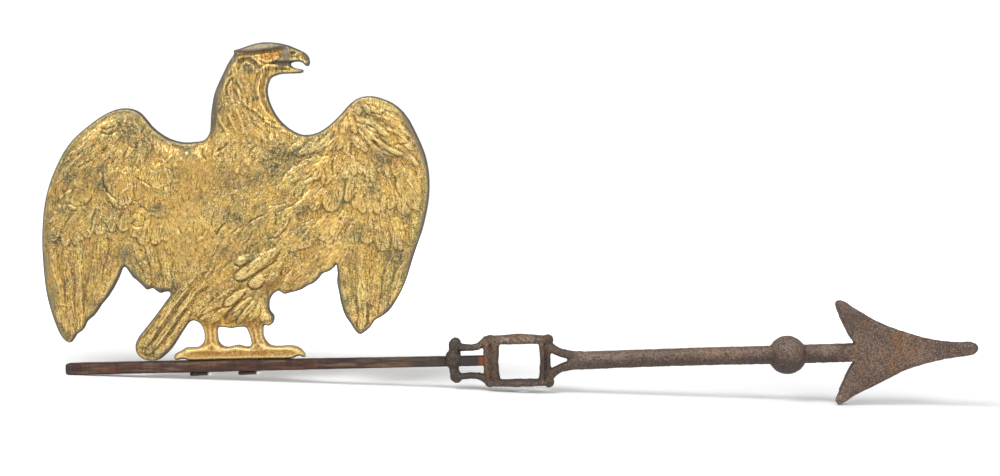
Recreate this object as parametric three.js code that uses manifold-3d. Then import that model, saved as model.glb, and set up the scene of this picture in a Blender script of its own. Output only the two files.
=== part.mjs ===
// Eagle weathervane. A two-sided cast eagle stands on a square iron bar, and the bar enters a
// one-piece cast-iron arrow: collar, open cage, pivot frame, fork, round shaft, ball and barbed head.
// Millimetres, +X towards the arrow's point, +Z up, the front side towards -Y.
// The origin is the middle of the bearing cup's flat floor, inside the top bar of the pivot frame,
// on the line of the spindle that the vane turns on.

import * as THREE from "three";
import { mergeVertices } from "three/addons/utils/BufferGeometryUtils.js";
import Module from "manifold-3d";

const wasm = await Module();
wasm.setup();

// Driving sizes
const clear = 0.3; // left open between pieces that touch
const axisZ = -21.5; // the arrow's axis lies this far below the cup's floor
const barSize = { left: -454.5, right: -31, thick: 11.2, thickRight: 10, corner: 0.24 };
const pivot = { left: -36, right: 30, top: 3.4, bottom: -48.2, half: 9 };
const pivotWindow = { left: -21, right: 22, top: -5.3, bottom: -40.7 };
const cup = { floor: 4.6, mouth: 5.4, sides: 12 };
const spindleHole = 6.2; // radius in the bottom bar
const shaft = { start: 44, end: 352, radius: 8.8 };
const ball = { x: 268, radius: 19.5 };
const headThick = 13;
const headSoften = 3;
const cageThick = 13;
const cageSoften = 2.5;
const pinSize = { radius: 1.85, hole: 2.35, foot: [-309, -260.5], leg: 19.5, top: -3 };
const barTop = axisZ + barSize.thick / 2;

// Outlines of the eagle, [x, z] seen from the front
const leftWing = [
  [-305, 185], [-319, 201.5], [-343, 205], [-359, 215], [-374, 232.5], [-390, 238], [-410, 232.5],
  [-434, 214.5], [-451, 196], [-464.5, 169], [-472, 138], [-474.5, 104], [-471.5, 64], [-463.5, 33],
  [-454, 10.5], [-448.5, 6], [-440, 15], [-431.5, 26.5], [-413, 47], [-401, 67], [-395.5, 82],
  [-384, 110], [-350, 145],
];
const rightWing = [
  [-211.5, 207.5], [-196, 210.5], [-181.5, 220.5], [-168, 234], [-154, 244], [-138, 244.5],
  [-118, 236], [-101, 216], [-90.5, 188], [-86.5, 155], [-90, 125], [-99, 93], [-110, 62.5],
  [-123, 39.5], [-137.5, 25], [-147, 20], [-155, 11], [-159.5, 9], [-166, 19], [-174.5, 36],
  [-179.5, 58], [-179.5, 80], [-190, 120], [-215, 175],
];
const trunk = [
  [-262, 240], [-300, 217], [-345, 190], [-386, 125], [-392.5, 82], [-387.5, 75], [-380, 67],
  [-374, 57.5], [-366, 58], [-358, 54], [-346, 54.5], [-328, 30], [-318, 19], [-300, 17],
  [-274, 17], [-262, 18.5], [-251, 19.5], [-246.5, 26], [-249, 38], [-246, 48], [-234, 51.5],
  [-222, 53.5], [-209, 59.5], [-200, 67], [-189, 74], [-179, 79.5], [-163, 115], [-172, 175],
  [-200, 206], [-226, 214], [-240, 230],
];
const headAndNeck = [
  [-306, 207], [-301, 228], [-298, 248], [-290, 269], [-279, 290], [-275, 295], [-262, 299],
  [-245, 301.5], [-230, 300], [-218, 296], [-219, 281], [-222.5, 277.5], [-220, 271], [-234, 270],
  [-241.5, 266], [-246, 254], [-244, 238], [-234, 221.5], [-220, 205], [-262, 180],
];
const upperBeak = [
  [-230, 299.5], [-216, 295.2], [-209, 291.8], [-204.5, 287.5], [-202.5, 280.5], [-204, 275.6],
  [-208, 277.5], [-211, 280.2], [-216, 281.2], [-222, 279.2], [-230, 281],
];
const lowerBeak = [
  [-232, 277], [-222, 275.8], [-215, 273.8], [-209.5, 271], [-213, 269.4], [-224, 269.8], [-233, 270],
];
const tail = [
  [-338, 66], [-347, 54], [-363, 30], [-379, 9.5], [-383.2, 0], [-380.5, -8.5], [-372, -13.6],
  [-360, -13.2], [-350, -6], [-337, 13], [-329, 23], [-308, 42], [-298, 66], [-315, 84],
];
const arrowhead = [
  [334, -13], [328, -5], [321, 9], [317, 25], [318.5, 30], [324, 30.5], [336, 22.5], [352, 11],
  [370, 2], [390, -5], [412, -11], [441, -14.2], [455, -15], [458.5, -19], [457.5, -23.5],
  [452, -26.5], [436, -29.5], [410, -34.5], [389, -40], [370, -48], [350, -59.5], [330, -70.5],
  [322, -74], [316.5, -72], [316, -67], [321, -56], [328, -42], [334, -32],
];
// The eagle's swelling over its plain half thickness, and how its edges are rounded
const wingHalf = 8.5;
const edgeHalf = 4.5;
const roundedOver = 1.7; // the rounding's width, as a share of the half thickness there
const swells = [
  { at: [-268, 152], reach: [66, 78], rise: 10.5 },
  { at: [-274, 74], reach: [44, 36], rise: 5 },
  { at: [-272, 236], reach: [28, 48], rise: 5 },
  { at: [-250, 284], reach: [28, 20], rise: 4 },
  { at: [-395, 190], reach: [62, 36], rise: 2.5 },
  { at: [-142, 196], reach: [46, 38], rise: 2.5 },
  { at: [-450, 34], reach: [34, 66], rise: -3 },
  { at: [-150, 36], reach: [34, 52], rise: -3 },
  { at: [-372, -4], reach: [30, 30], rise: -2.5 },
  { at: [-206, 284], reach: [12, 14], rise: -4 },
];

const eye = { at: [-245.5, 288], radius: 4.2 };
const brow = [[-262, 291.5, 1.5, 3], [-250, 294, 2.4, 4], [-235, 292.5, 1.5, 3]];

const collarAndCage = [
  [-72.5, -15], [-70, -8], [-66.5, 0], [-63.5, 2], [-60.5, 0], [-57, -4.5], [-50, -5.4],
  [-41, -4], [-35, -1.5], [-31, 3], [-24, 3], [-24, -48], [-31, -47], [-36, -42], [-45, -39.6],
  [-56, -38.8], [-59.5, -42], [-62.5, -44.3], [-66, -42.5], [-69, -36], [-72.5, -29],
];
const cageOpening = [-58.5, -36.5, -9.6, -33.4]; // left, right, top and bottom, with the bar across it

// Materials
const gilding = new THREE.MeshStandardMaterial({ color: 0xc39a48, roughness: 0.45, metalness: 0.8 });
const rustyIron = new THREE.MeshStandardMaterial({ color: 0x5a4b41, roughness: 0.85, metalness: 0.4 });
const barIron = new THREE.MeshStandardMaterial({ color: 0x5e3527, roughness: 0.6, metalness: 0.5 });
const pinIron = new THREE.MeshStandardMaterial({ color: 0x3b3633, roughness: 0.6, metalness: 0.6 });

// A closed geometry as a solid, with its shared corners merged and its faces turned outwards
function solid(geometry) {
  const plain = geometry.clone();
  plain.deleteAttribute("normal");
  plain.deleteAttribute("uv");
  const merged = mergeVertices(plain, 1e-4);
  const corners = merged.index.array;
  const triVerts = [];
  for (let i = 0; i < corners.length; i += 3) {
    const [a, b, c] = corners.slice(i, i + 3);
    if (a !== b && b !== c && a !== c) triVerts.push(a, b, c);
  }
  const vertProperties = new Float32Array(merged.attributes.position.array);
  if (volumeOf(vertProperties, triVerts) < 0) triVerts.reverse();
  const mesh = new wasm.Mesh({ numProp: 3, vertProperties, triVerts: new Uint32Array(triVerts) });
  return new wasm.Manifold(mesh);
}

function volumeOf(places, corners) {
  const at = (i) => new THREE.Vector3().fromArray(places, 3 * corners[i]);
  let sum = 0;
  for (let i = 0; i < corners.length; i += 3) sum += at(i).dot(at(i + 1).cross(at(i + 2)));
  return sum / 6;
}

function geometryOf(points, triangles) {
  const geometry = new THREE.BufferGeometry();
  geometry.setAttribute("position", new THREE.Float32BufferAttribute(points.flat(), 3));
  geometry.setIndex(triangles.flat());
  return geometry;
}

function joined(solids) {
  return solids.reduce((whole, next) => whole.add(next));
}

function meshOf(name, manifold, material) {
  const { vertProperties, triVerts } = manifold.getMesh();
  const geometry = new THREE.BufferGeometry();
  geometry.setAttribute("position", new THREE.BufferAttribute(new Float32Array(vertProperties), 3));
  geometry.setIndex(new THREE.BufferAttribute(new Uint32Array(triVerts), 1));
  geometry.computeVertexNormals();
  const mesh = new THREE.Mesh(geometry, material);
  mesh.name = name;
  return mesh;
}

// The points of an outline in order, anticlockwise from the front
function lineOf(outline) {
  const line = outline.map(([x, z]) => new THREE.Vector2(x, z));
  return THREE.ShapeUtils.isClockWise(line) ? line.reverse() : line;
}

// How far a place lies inside an outline, negative outside it
function depthInside(x, z, line) {
  let nearest = Infinity;
  let inside = false;
  line.forEach((a, i) => {
    const b = line[(i + 1) % line.length];
    const [wayX, wayZ] = [b.x - a.x, b.y - a.y];
    const share = ((x - a.x) * wayX + (z - a.y) * wayZ) / (wayX * wayX + wayZ * wayZ);
    const near = THREE.MathUtils.clamp(share, 0, 1);
    nearest = Math.min(nearest, Math.hypot(x - a.x - near * wayX, z - a.y - near * wayZ));
    if (a.y > z !== b.y > z && x < a.x + ((z - a.y) * wayX) / wayZ) inside = !inside;
  });
  return inside ? nearest : -nearest;
}

// Half the eagle's thickness at a place: swells over a plain wing, rounded off towards the outline
const bodyParts = [leftWing, rightWing, trunk, headAndNeck, upperBeak, lowerBeak, tail];
const bodyLines = bodyParts.map(lineOf);
function halfThickness(x, z) {
  const full = swells.reduce((sum, { at, reach, rise }) => {
    const [u, v] = [(x - at[0]) / reach[0], (z - at[1]) / reach[1]];
    return sum + rise * Math.exp(-u * u - v * v);
  }, wingHalf);
  const depth = Math.max(0, ...bodyLines.map((line) => depthInside(x, z, line)));
  const inwards = Math.min(depth / (full * roundedOver), 1);
  return edgeHalf + (full - edgeHalf) * Math.sqrt(1 - (1 - inwards) ** 2);
}

// A part of the swelled body: its outline stepped inwards towards its spine, and domed on both sides
const domeSteps = [0, 0.2];
const buried = 2.5; // the feathers stand on the smooth form, and the body lies a little under it
function swelled(outline, spine) {
  const line = lineOf(outline);
  const count = line.length;
  const cores = line.map((p) => softNearest(p, spine));
  const points = [];
  for (const side of [-1, 1]) {
    for (const inwards of domeSteps) {
      line.forEach((p, i) => {
        const place = p.clone().lerp(cores[i], inwards);
        const under = inwards > 0 ? buried : 0;
        points.push([place.x, side * (halfThickness(place.x, place.y) - under), place.y]);
      });
    }
  }
  const rings = domeSteps.length;
  const triangles = [];
  for (let i = 0; i < count; i += 1) {
    const j = (i + 1) % count;
    for (let r = 0; r + 1 < rings; r += 1) {
      const [o, n] = [r * count, (r + 1) * count];
      triangles.push([o + i, o + j, n + j], [o + i, n + j, n + i]);
      const [p, q] = [o + rings * count, n + rings * count];
      triangles.push([p + j, p + i, q + j], [q + j, p + i, q + i]);
    }
    const back = rings * count;
    triangles.push([i, back + i, back + j], [i, back + j, j]);
  }
  const inner = (rings - 1) * count;
  const crown = line.map((_, i) => new THREE.Vector2(points[inner + i][0], points[inner + i][2]));
  for (const [a, b, c] of THREE.ShapeUtils.triangulateShape(crown, [])) {
    triangles.push([inner + a, inner + b, inner + c]);
    const far = inner + rings * count;
    triangles.push([far + b, far + a, far + c]);
  }
  return solid(geometryOf(points, triangles));
}

// The middle of a spine as seen from a point, its nearer stretches counting most
function softNearest(point, spine) {
  const sum = new THREE.Vector2();
  let weights = 0;
  const perSpan = 8;
  for (let i = 0; i + 1 < spine.length; i += 1) {
    for (let k = 0; k <= perSpan; k += 1) {
      const place = new THREE.Vector2(...spine[i]).lerp(new THREE.Vector2(...spine[i + 1]), k / perSpan);
      const weight = place.distanceToSquared(point) ** -2;
      sum.addScaledVector(place, weight);
      weights += weight;
    }
  }
  return sum.divideScalar(weights);
}

// A rod through stations [x, z, half across, half deep], with a section of unit points
function rod(stations, section, y = 0) {
  const points = [];
  stations.forEach(([x, z, across, deep = across], s) => {
    const before = stations[Math.max(s - 1, 0)];
    const after = stations[Math.min(s + 1, stations.length - 1)];
    const way = new THREE.Vector2(after[0] - before[0], after[1] - before[1]).normalize();
    for (const [u, v] of section) {
      points.push([x - way.y * u * across, y + v * deep, z + way.x * u * across]);
    }
  });
  const n = section.length;
  const triangles = [];
  for (let s = 0; s + 1 < stations.length; s += 1) {
    for (let i = 0; i < n; i += 1) {
      const j = (i + 1) % n;
      const [a, b] = [s * n, (s + 1) * n];
      triangles.push([a + i, b + i, b + j], [a + i, b + j, a + j]);
    }
  }
  const last = (stations.length - 1) * n;
  for (let i = 1; i + 1 < n; i += 1) {
    triangles.push([0, i, i + 1], [last, last + i + 1, last + i]);
  }
  return solid(geometryOf(points, triangles));
}

function roundSection(sides) {
  return Array.from({ length: sides }, (_, i) => {
    const turn = (2 * Math.PI * (i + 0.5)) / sides;
    return [Math.cos(turn), Math.sin(turn)];
  });
}

function softSquare(corner) {
  const k = 1 - corner;
  return [[1, -k], [1, k], [k, 1], [-k, 1], [-1, k], [-1, -k], [-k, -1], [k, -1]];
}

// A flat plate of an outline, softened along its edges
function plate(outline, thick, soften) {
  const shape = new THREE.Shape(lineOf(outline));
  const geometry = new THREE.ExtrudeGeometry(shape, {
    depth: thick - 2 * soften,
    bevelEnabled: true,
    bevelThickness: soften,
    bevelSize: soften,
    bevelOffset: -soften,
    bevelSegments: 1,
    steps: 1,
  });
  geometry.translate(0, 0, soften - thick / 2);
  geometry.rotateX(Math.PI / 2);
  return solid(geometry);
}

function knob(x, y, z, radius, squash = [1, 1, 1]) {
  const geometry = new THREE.SphereGeometry(radius, 8, 4);
  geometry.scale(...squash);
  geometry.translate(x, y, z);
  return solid(geometry);
}

function block(x0, x1, y0, y1, z0, z1) {
  const geometry = new THREE.BoxGeometry(x1 - x0, y1 - y0, z1 - z0);
  geometry.translate((x0 + x1) / 2, (y0 + y1) / 2, (z0 + z1) / 2);
  return solid(geometry);
}

function upright(x, z0, z1, radiusLow, radiusHigh, sides) {
  const geometry = new THREE.CylinderGeometry(radiusHigh, radiusLow, z1 - z0, sides);
  geometry.rotateX(Math.PI / 2);
  geometry.translate(x, 0, (z0 + z1) / 2);
  return solid(geometry);
}

// The eagle's smooth form, before its feathers
function eagleBody() {
  return joined([
    swelled(leftWing, [[-310, 160], [-400, 180], [-438, 130], [-448, 50]]),
    swelled(rightWing, [[-230, 160], [-150, 190], [-128, 140], [-148, 55]]),
    swelled(trunk, [[-345, 110], [-270, 150], [-262, 90], [-215, 120]]),
    swelled(headAndNeck, [[-268, 205], [-270, 245], [-256, 282], [-235, 286]]),
    swelled(upperBeak, [[-226, 289], [-210, 285]]),
    swelled(lowerBeak, [[-230, 273], [-214, 271.5]]),
    swelled(tail, [[-312, 62], [-345, 28], [-370, -1]]),
  ]);
}

// Legs, and the long foot that the two share, with a claw at each end
function legsAndFeet() {
  const limb = roundSection(8);
  const forms = [
    rod([[-310, 34, 10], [-309, 20, 7.6], [-308.5, 8, 6.2], [-308.5, -5, 6.6]], limb),
    rod([[-266, 34, 10], [-265, 18, 7.4], [-263, 6, 6.2], [-261.5, -5, 6.8]], limb),
    rod(
      [[-343, -12.9, 2.2, 3], [-338, -10.6, 4.4, 5], [-328, -9.4, 6.2, 7.5], [-300, -9.4, 6.2, 7.6],
        [-262, -9.4, 6.2, 7.6], [-231, -9.5, 6, 7.2], [-221, -9.9, 4.8, 5.4], [-215.6, -13.2, 2, 3]],
      softSquare(0.45),
    ),
  ];
  return joined(forms);
}

// Feather tracts: tips run from one place to another along a bowed line
// heading is degrees off straight down, towards the left wing when positive
const leftTracts = [
  { from: [-452, 20], to: [-404, 72], bow: -5, count: 5, length: [100, 52], width: 16, heading: [5, -4], lift: 1 },
  { from: [-387, 72], to: [-352, 57], bow: -8, count: 4, length: [48, 54], width: 15, heading: [-14, -18], lift: 1.2 },
  { from: [-460, 103], to: [-400, 108], bow: 2, count: 5, length: [46, 42], width: 19, heading: [0, 16], lift: 1.8 },
  { from: [-385, 114], to: [-340, 104], bow: -8, count: 4, length: [42, 42], width: 18, heading: [18, -10], lift: 1.8 },
  { from: [-450, 137], to: [-398, 138], bow: 2, count: 3, length: [42, 50], width: 29, heading: [-2, 10], lift: 2.2 },
  { from: [-377, 146], to: [-330, 137], bow: -8, count: 3, length: [42, 42], width: 25, heading: [18, -2], lift: 2 },
  { from: [-437, 168], to: [-378, 170], bow: 8, count: 4, length: [34, 38], width: 24, heading: [2, 8], lift: 2 },
  { from: [-418, 196], to: [-366, 188], bow: 8, count: 3, length: [22, 24], width: 24, heading: [14, -4], lift: 1.6 },
];
const rightTracts = [
  { from: [-168, 44], to: [-114, 62], bow: -24, count: 5, length: [64, 58], width: 16, heading: [-6, 14], lift: 1 },
  { from: [-238, 55], to: [-188, 78], bow: -3, count: 5, length: [54, 50], width: 15, heading: [38, 30], lift: 1.2 },
  { from: [-230, 98], to: [-112, 92], bow: 10, count: 6, length: [46, 38], width: 21, heading: [34, 0], lift: 1.8 },
  { from: [-232, 134], to: [-104, 126], bow: 6, count: 6, length: [42, 36], width: 23, heading: [34, -4], lift: 2.2 },
  { from: [-212, 163], to: [-108, 154], bow: 6, count: 5, length: [36, 34], width: 25, heading: [30, -6], lift: 2 },
  { from: [-190, 187], to: [-114, 182], bow: 8, count: 4, length: [30, 30], width: 24, heading: [22, -10], lift: 1.8 },
  { from: [-164, 211], to: [-126, 207], bow: 6, count: 3, length: [22, 22], width: 18, heading: [12, -12], lift: 1.5 },
];
const bodyTracts = [
  { from: [-372, 5], to: [-346, -2], bow: -2, count: 3, length: [92, 90], width: 15, heading: [44, 44], lift: 0.9 },
  { from: [-314, 28], to: [-282, 36], bow: 0, count: 2, length: [36, 34], width: 20, heading: [46, 30], lift: 1.6 },
  { from: [-286, 30], to: [-262, 27], bow: 0, count: 2, length: [34, 34], width: 16, heading: [30, 4], lift: 1.6 },
  { from: [-302, 68], to: [-254, 58], bow: 0, count: 3, length: [40, 36], width: 22, heading: [44, 20], lift: 1.8 },
  { from: [-324, 94], to: [-250, 86], bow: -4, count: 4, length: [42, 42], width: 23, heading: [14, 30], lift: 1.4 },
  { from: [-318, 126], to: [-246, 118], bow: -4, count: 4, length: [40, 40], width: 24, heading: [8, 30], lift: 1.4 },
  { from: [-310, 160], to: [-236, 152], bow: -4, count: 4, length: [40, 40], width: 24, heading: [10, 24], lift: 1.4 },
];
const neckTracts = [
  { from: [-300, 190], to: [-232, 184], bow: -6, count: 3, length: [38, 36], width: 23, heading: [6, -6], lift: 1.4 },
  { from: [-290, 222], to: [-254, 217], bow: -4, count: 3, length: [38, 36], width: 16, heading: [4, -4], lift: 1.2 },
  { from: [-282, 250], to: [-262, 247], bow: -2, count: 2, length: [30, 30], width: 15, heading: [8, 2], lift: 1 },
];
// The back is plainer: some of the same tracts, with fewer and broader feathers
const backShare = 0.6;
const backTracts = [
  ...[0, 2, 5].map((i) => leftTracts[i]),
  ...[0, 2, 4].map((i) => rightTracts[i]),
  ...[0, 5].map((i) => bodyTracts[i]),
].map((tract) => ({
  ...tract,
  count: Math.ceil(tract.count * backShare),
  width: tract.width / backShare,
}));

// One feather: sunk at its root, raised at its tip, highest at the middle of its quill
const featherRim = [[0, -0.42], [0, 0.42], [0.74, 0.5], [1, 0], [0.74, -0.5]];
const quillRise = 1;
const featherDepth = 6.5; // how far a feather reaches under its own top
function feather(tip, heading, length, width, lift, side) {
  const way = new THREE.Vector2(-Math.sin(heading), -Math.cos(heading));
  const across = new THREE.Vector2(-way.y, way.x);
  const place = ([share, sideways], above) => {
    const back = (share - 1) * length;
    const p = tip.clone().addScaledVector(way, back).addScaledVector(across, sideways * width);
    return [p.x, side * (halfThickness(p.x, p.y) + above), p.y];
  };
  const quill = place([0.72, 0], lift * 0.7 + quillRise);
  const points = featherRim.map((spot) => place(spot, (lift + 1) * spot[0] - 1));
  const n = points.length;
  for (let i = 0; i < n; i += 1) points.push([points[i][0], points[i][1] - side * featherDepth, points[i][2]]);
  points.push(quill);
  const triangles = [];
  for (let i = 0; i < n; i += 1) {
    const j = (i + 1) % n;
    triangles.push([i, j, 2 * n], [j, i, n + i], [j, n + i, n + j]);
  }
  for (let i = 1; i + 1 < n; i += 1) triangles.push([n, n + i + 1, n + i]);
  return solid(geometryOf(points, triangles));
}

// A prism of an outline, deeper than the eagle, that trims the feathers to it
function silhouette(line) {
  const depth = 100;
  const geometry = new THREE.ExtrudeGeometry(new THREE.Shape(line), { depth, bevelEnabled: false });
  geometry.translate(0, 0, -depth / 2);
  geometry.rotateX(Math.PI / 2);
  return solid(geometry);
}

function tractFeathers(tract, side) {
  const { from, to, bow, count, length, width, heading, lift } = tract;
  const start = new THREE.Vector2(...from);
  const end = new THREE.Vector2(...to);
  return Array.from({ length: count }, (_, i) => {
    const share = count > 1 ? i / (count - 1) : 0.5;
    const tip = start.clone().lerp(end, share);
    tip.y += 4 * bow * share * (1 - share);
    const turn = THREE.MathUtils.degToRad(THREE.MathUtils.lerp(...heading, share));
    const long = THREE.MathUtils.lerp(...length, share);
    return feather(tip, turn, long, width, lift, side);
  });
}

function makeEagle() {
  const front = leftTracts.concat(rightTracts, bodyTracts, neckTracts);
  const feathers = [
    ...front.flatMap((tract) => tractFeathers(tract, -1)),
    ...backTracts.flatMap((tract) => tractFeathers(tract, 1)),
  ];
  const face = halfThickness(...eye.at) - buried;
  const eyes = [-1, 1].map((side) => knob(eye.at[0], side * face, eye.at[1], eye.radius, [1, 0.8, 1]));
  const brows = [-1, 1].map((side) => rod(brow, roundSection(6), side * face));
  const plumage = joined(feathers).intersect(joined(bodyLines.map(silhouette)));
  const whole = joined([eagleBody(), legsAndFeet(), plumage, ...eyes, ...brows]);
  return pinSize.foot.reduce(
    (rest, x) => rest.subtract(upright(x, -30, pinSize.top + 1, pinSize.hole, pinSize.hole, 12)),
    whole,
  );
}

function makeBar() {
  const { left, right, thick, thickRight, corner } = barSize;
  const half = thick / 2;
  const ends = [
    [left, axisZ, half * 0.78],
    [left + 2.5, axisZ, half],
    [right, axisZ, thickRight / 2],
  ];
  return pinSize.foot.reduce(
    (rest, x) => rest.subtract(upright(x, axisZ - thick, barTop + 5, pinSize.hole, pinSize.hole, 12)),
    rod(ends, softSquare(corner)),
  );
}

function makePin(x) {
  const { radius, leg, top } = pinSize;
  const under = axisZ - barSize.thick / 2 - clear - radius;
  const stations = [
    [x, top, radius],
    [x, under + 4, radius],
    [x, under + 1.6, radius],
    [x - 0.9, under - 0.1, radius],
    [x - 2.9, under - 0.9, radius],
    [x - leg, under - 1.3, radius],
    [x - leg - 1, under - 1.3, radius * 0.6],
  ];
  return rod(stations, roundSection(8));
}

// The pivot frame's four bars and its knobs, then the cup above and the spindle's hole below
function pivotFrame() {
  const { left, right, top, bottom, half } = pivot;
  const win = pivotWindow;
  const topZ = (top + win.top) / 2;
  const bottomZ = (bottom + win.bottom) / 2;
  const thickTop = (top - win.top) / 2;
  const thickBottom = (win.bottom - bottom) / 2;
  const middle = (win.left + win.right) / 2;
  const section = softSquare(0.5);
  const post = (x0, x1) => {
    const [x, across] = [(x0 + x1) / 2, (x1 - x0) / 2];
    const stations = [[bottom + 3, 0.7], [bottom + 9, 1], [top - 8, 1], [top - 2, 0.7]];
    return rod(stations.map(([z, share]) => [x, z, across * share, half]), section);
  };
  const forms = [
    rod([[left + 6, topZ - 0.6, thickTop - 0.6, half], [middle, topZ, thickTop, half + 4],
      [right - 2, topZ - 0.6, thickTop - 0.6, half]], section),
    rod([[left + 6, bottomZ, thickBottom, half], [middle, bottomZ, thickBottom, half + 4],
      [right - 2, bottomZ, thickBottom, half]], section),
    post(left, win.left),
    post(win.right, right),
  ];
  for (const z of [top - 3.6, bottom + 3.6]) {
    forms.push(knob(left + 6, 0, z, 6.2, [1, 1.5, 1]), knob(right - 1, 0, z, 6.2, [1, 1.5, 1]));
  }
  return joined(forms);
}

function forkAndShaft() {
  const arm = (up) => rod(
    [[27, -8, 4.6, 6.5], [35, -12.4, 4, 6.2], [45, -17, 4.2, 6.6], [56, -20.2, 5, 7.4]]
      .map(([x, z, across, deep]) => [x, axisZ + up * (z - axisZ), across, deep]),
    softSquare(0.45),
  );
  const { start, end, radius } = shaft;
  const stem = rod(
    [[start + 2, axisZ, 3.5], [start + 14, axisZ, radius - 0.7], [start + 34, axisZ, radius],
      [end - 12, axisZ, radius], [end, axisZ, radius - 2]],
    roundSection(12),
  );
  const globe = new THREE.SphereGeometry(ball.radius, 12, 8);
  globe.rotateX(Math.PI / 2);
  globe.translate(ball.x, 0, axisZ);
  return joined([arm(1), arm(-1), stem, solid(globe)]);
}

function makeArrow() {
  const [openLeft, openRight, openTop, openBottom] = cageOpening;
  const hub = rod(
    [[-72.5, axisZ, 6.5, 7.5], [-69, axisZ, 9, 10], [-62, axisZ, 9.5, 10.5], [-58, axisZ, 7, 8]],
    roundSection(10),
  );
  const whole = joined([
    plate(collarAndCage, cageThick, cageSoften).subtract(block(openLeft, openRight, -20, 20, openBottom, openTop)),
    hub,
    pivotFrame(),
    forkAndShaft(),
    plate(arrowhead, headThick, headSoften),
  ]);
  const room = barSize.thickRight / 2 + clear + 0.15;
  const rightmost = barSize.right + clear;
  const pocket = block(-90, rightmost, -room, room, axisZ - room, axisZ + room);
  const cupHole = upright(0, pivotWindow.top - 3, 0, cup.mouth, cup.floor, cup.sides);
  const way = upright(0, pivot.bottom - 3, pivotWindow.bottom + 3, spindleHole, spindleHole, cup.sides);
  return whole.subtract(pocket).subtract(cupHole).subtract(way);
}

const vane = new THREE.Group();
vane.add(meshOf("eagle", makeEagle(), gilding));
vane.add(meshOf("tail_bar", makeBar(), barIron));
vane.add(meshOf("arrow", makeArrow(), rustyIron));
pinSize.foot.forEach((x, i) => {
  vane.add(meshOf(["pin_left", "pin_right"][i], makePin(x), pinIron));
});

export default vane;
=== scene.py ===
# Eagle weathervane: a gilt eagle, cast in two halves, stands on an iron bar that ends in a cast arrow
import math

import bmesh
import bpy
import numpy as np
from mathutils import Matrix, Vector, noise


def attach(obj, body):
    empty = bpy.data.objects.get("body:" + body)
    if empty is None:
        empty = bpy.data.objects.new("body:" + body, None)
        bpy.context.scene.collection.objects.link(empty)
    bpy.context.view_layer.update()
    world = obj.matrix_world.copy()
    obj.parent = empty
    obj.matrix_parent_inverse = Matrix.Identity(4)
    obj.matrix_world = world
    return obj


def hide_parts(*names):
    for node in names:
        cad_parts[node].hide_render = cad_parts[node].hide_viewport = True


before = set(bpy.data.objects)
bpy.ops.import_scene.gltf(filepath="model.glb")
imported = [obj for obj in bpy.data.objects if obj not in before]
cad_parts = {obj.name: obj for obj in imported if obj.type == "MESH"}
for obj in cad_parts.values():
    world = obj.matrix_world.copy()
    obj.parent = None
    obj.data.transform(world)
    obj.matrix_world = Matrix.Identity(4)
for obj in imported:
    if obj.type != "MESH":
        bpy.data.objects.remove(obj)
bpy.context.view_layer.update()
mm = 0.001
scene = bpy.context.scene


# Camera, light and floor

studio = {
    "aim": (-16.9, 0, 100.3),  # mm, what the middle of the picture shows
    "distance": 1900,
    "elevation": 3.0,
    "roll": 1.219,  # the arrow rises this many degrees to the right
    "pictureWidth": 1000,  # mm seen across the picture at the aim
    "roomLight": 0.55,  # how strongly the room lights the vane, and how bright it looks behind it
    "roomSeen": 1.03,
    "lights": [  # name, place and aim in m, size in m, power in W
        ("key", (-0.75, -1.35, 1.75), (-0.1, 0, 0.08), (1.2, 1.0), 44),
        ("fill", (1.0, -1.6, 0.9), (0, 0, 0.08), (1.0, 1.0), 15),
    ],
    "floorHalf": 3,  # m from its middle to its edge
    "floorUnder": [(-454, -27.4), (320, -74.6)],  # mm: the bar's end and the lower barb touch the floor
    "floorFades": (0.15, 0.9),  # m behind the vane, where its glow begins and is full
    "floorGlow": (0.04, 0.75),
}


def makeCamera(s):
    data = bpy.data.cameras.new("camera")
    data.sensor_width = 36
    data.lens = 36 * s["distance"] / s["pictureWidth"]
    data.clip_start = 0.05
    data.clip_end = 50
    camera = bpy.data.objects.new("camera", data)
    scene.collection.objects.link(camera)
    up = math.radians(s["elevation"])
    aim = Vector(s["aim"]) * mm
    back = Vector((0, -math.cos(up), math.sin(up)))
    camera.location = aim + back * s["distance"] * mm
    roll = Matrix.Rotation(math.radians(-s["roll"]), 3, "Z")
    camera.rotation_euler = ((-back).to_track_quat("-Z", "Y").to_matrix() @ roll).to_euler()
    scene.camera = camera


def makeLight(name, place, aim, size, power):
    data = bpy.data.lights.new(name, "AREA")
    data.shape = "RECTANGLE"
    data.size, data.size_y = size
    data.energy = power
    light = bpy.data.objects.new(name, data)
    scene.collection.objects.link(light)
    light.location = place
    light.rotation_euler = (Vector(aim) - Vector(place)).to_track_quat("-Z", "Y").to_euler()


def linear(hexColour):
    parts = [int(hexColour[i:i + 2], 16) / 255 for i in (1, 3, 5)]
    return tuple(c / 12.92 if c <= 0.04045 else ((c + 0.055) / 1.055) ** 2.4 for c in parts) + (1,)


def addNode(tree, kind, settings=None, links=None):
    # settings by socket name, socket number or node property
    node = tree.nodes.new(kind)
    for key, value in (settings or {}).items():
        if isinstance(key, int) or key in node.inputs:
            node.inputs[key].default_value = value
        else:
            setattr(node, key, value)
    for key, output in (links or {}).items():
        tree.links.new(output, node.inputs[key])
    return node


def newMaterial(name):
    material = bpy.data.materials.new(name)
    material.use_nodes = True
    tree = material.node_tree
    tree.nodes.clear()
    return material, tree


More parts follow.
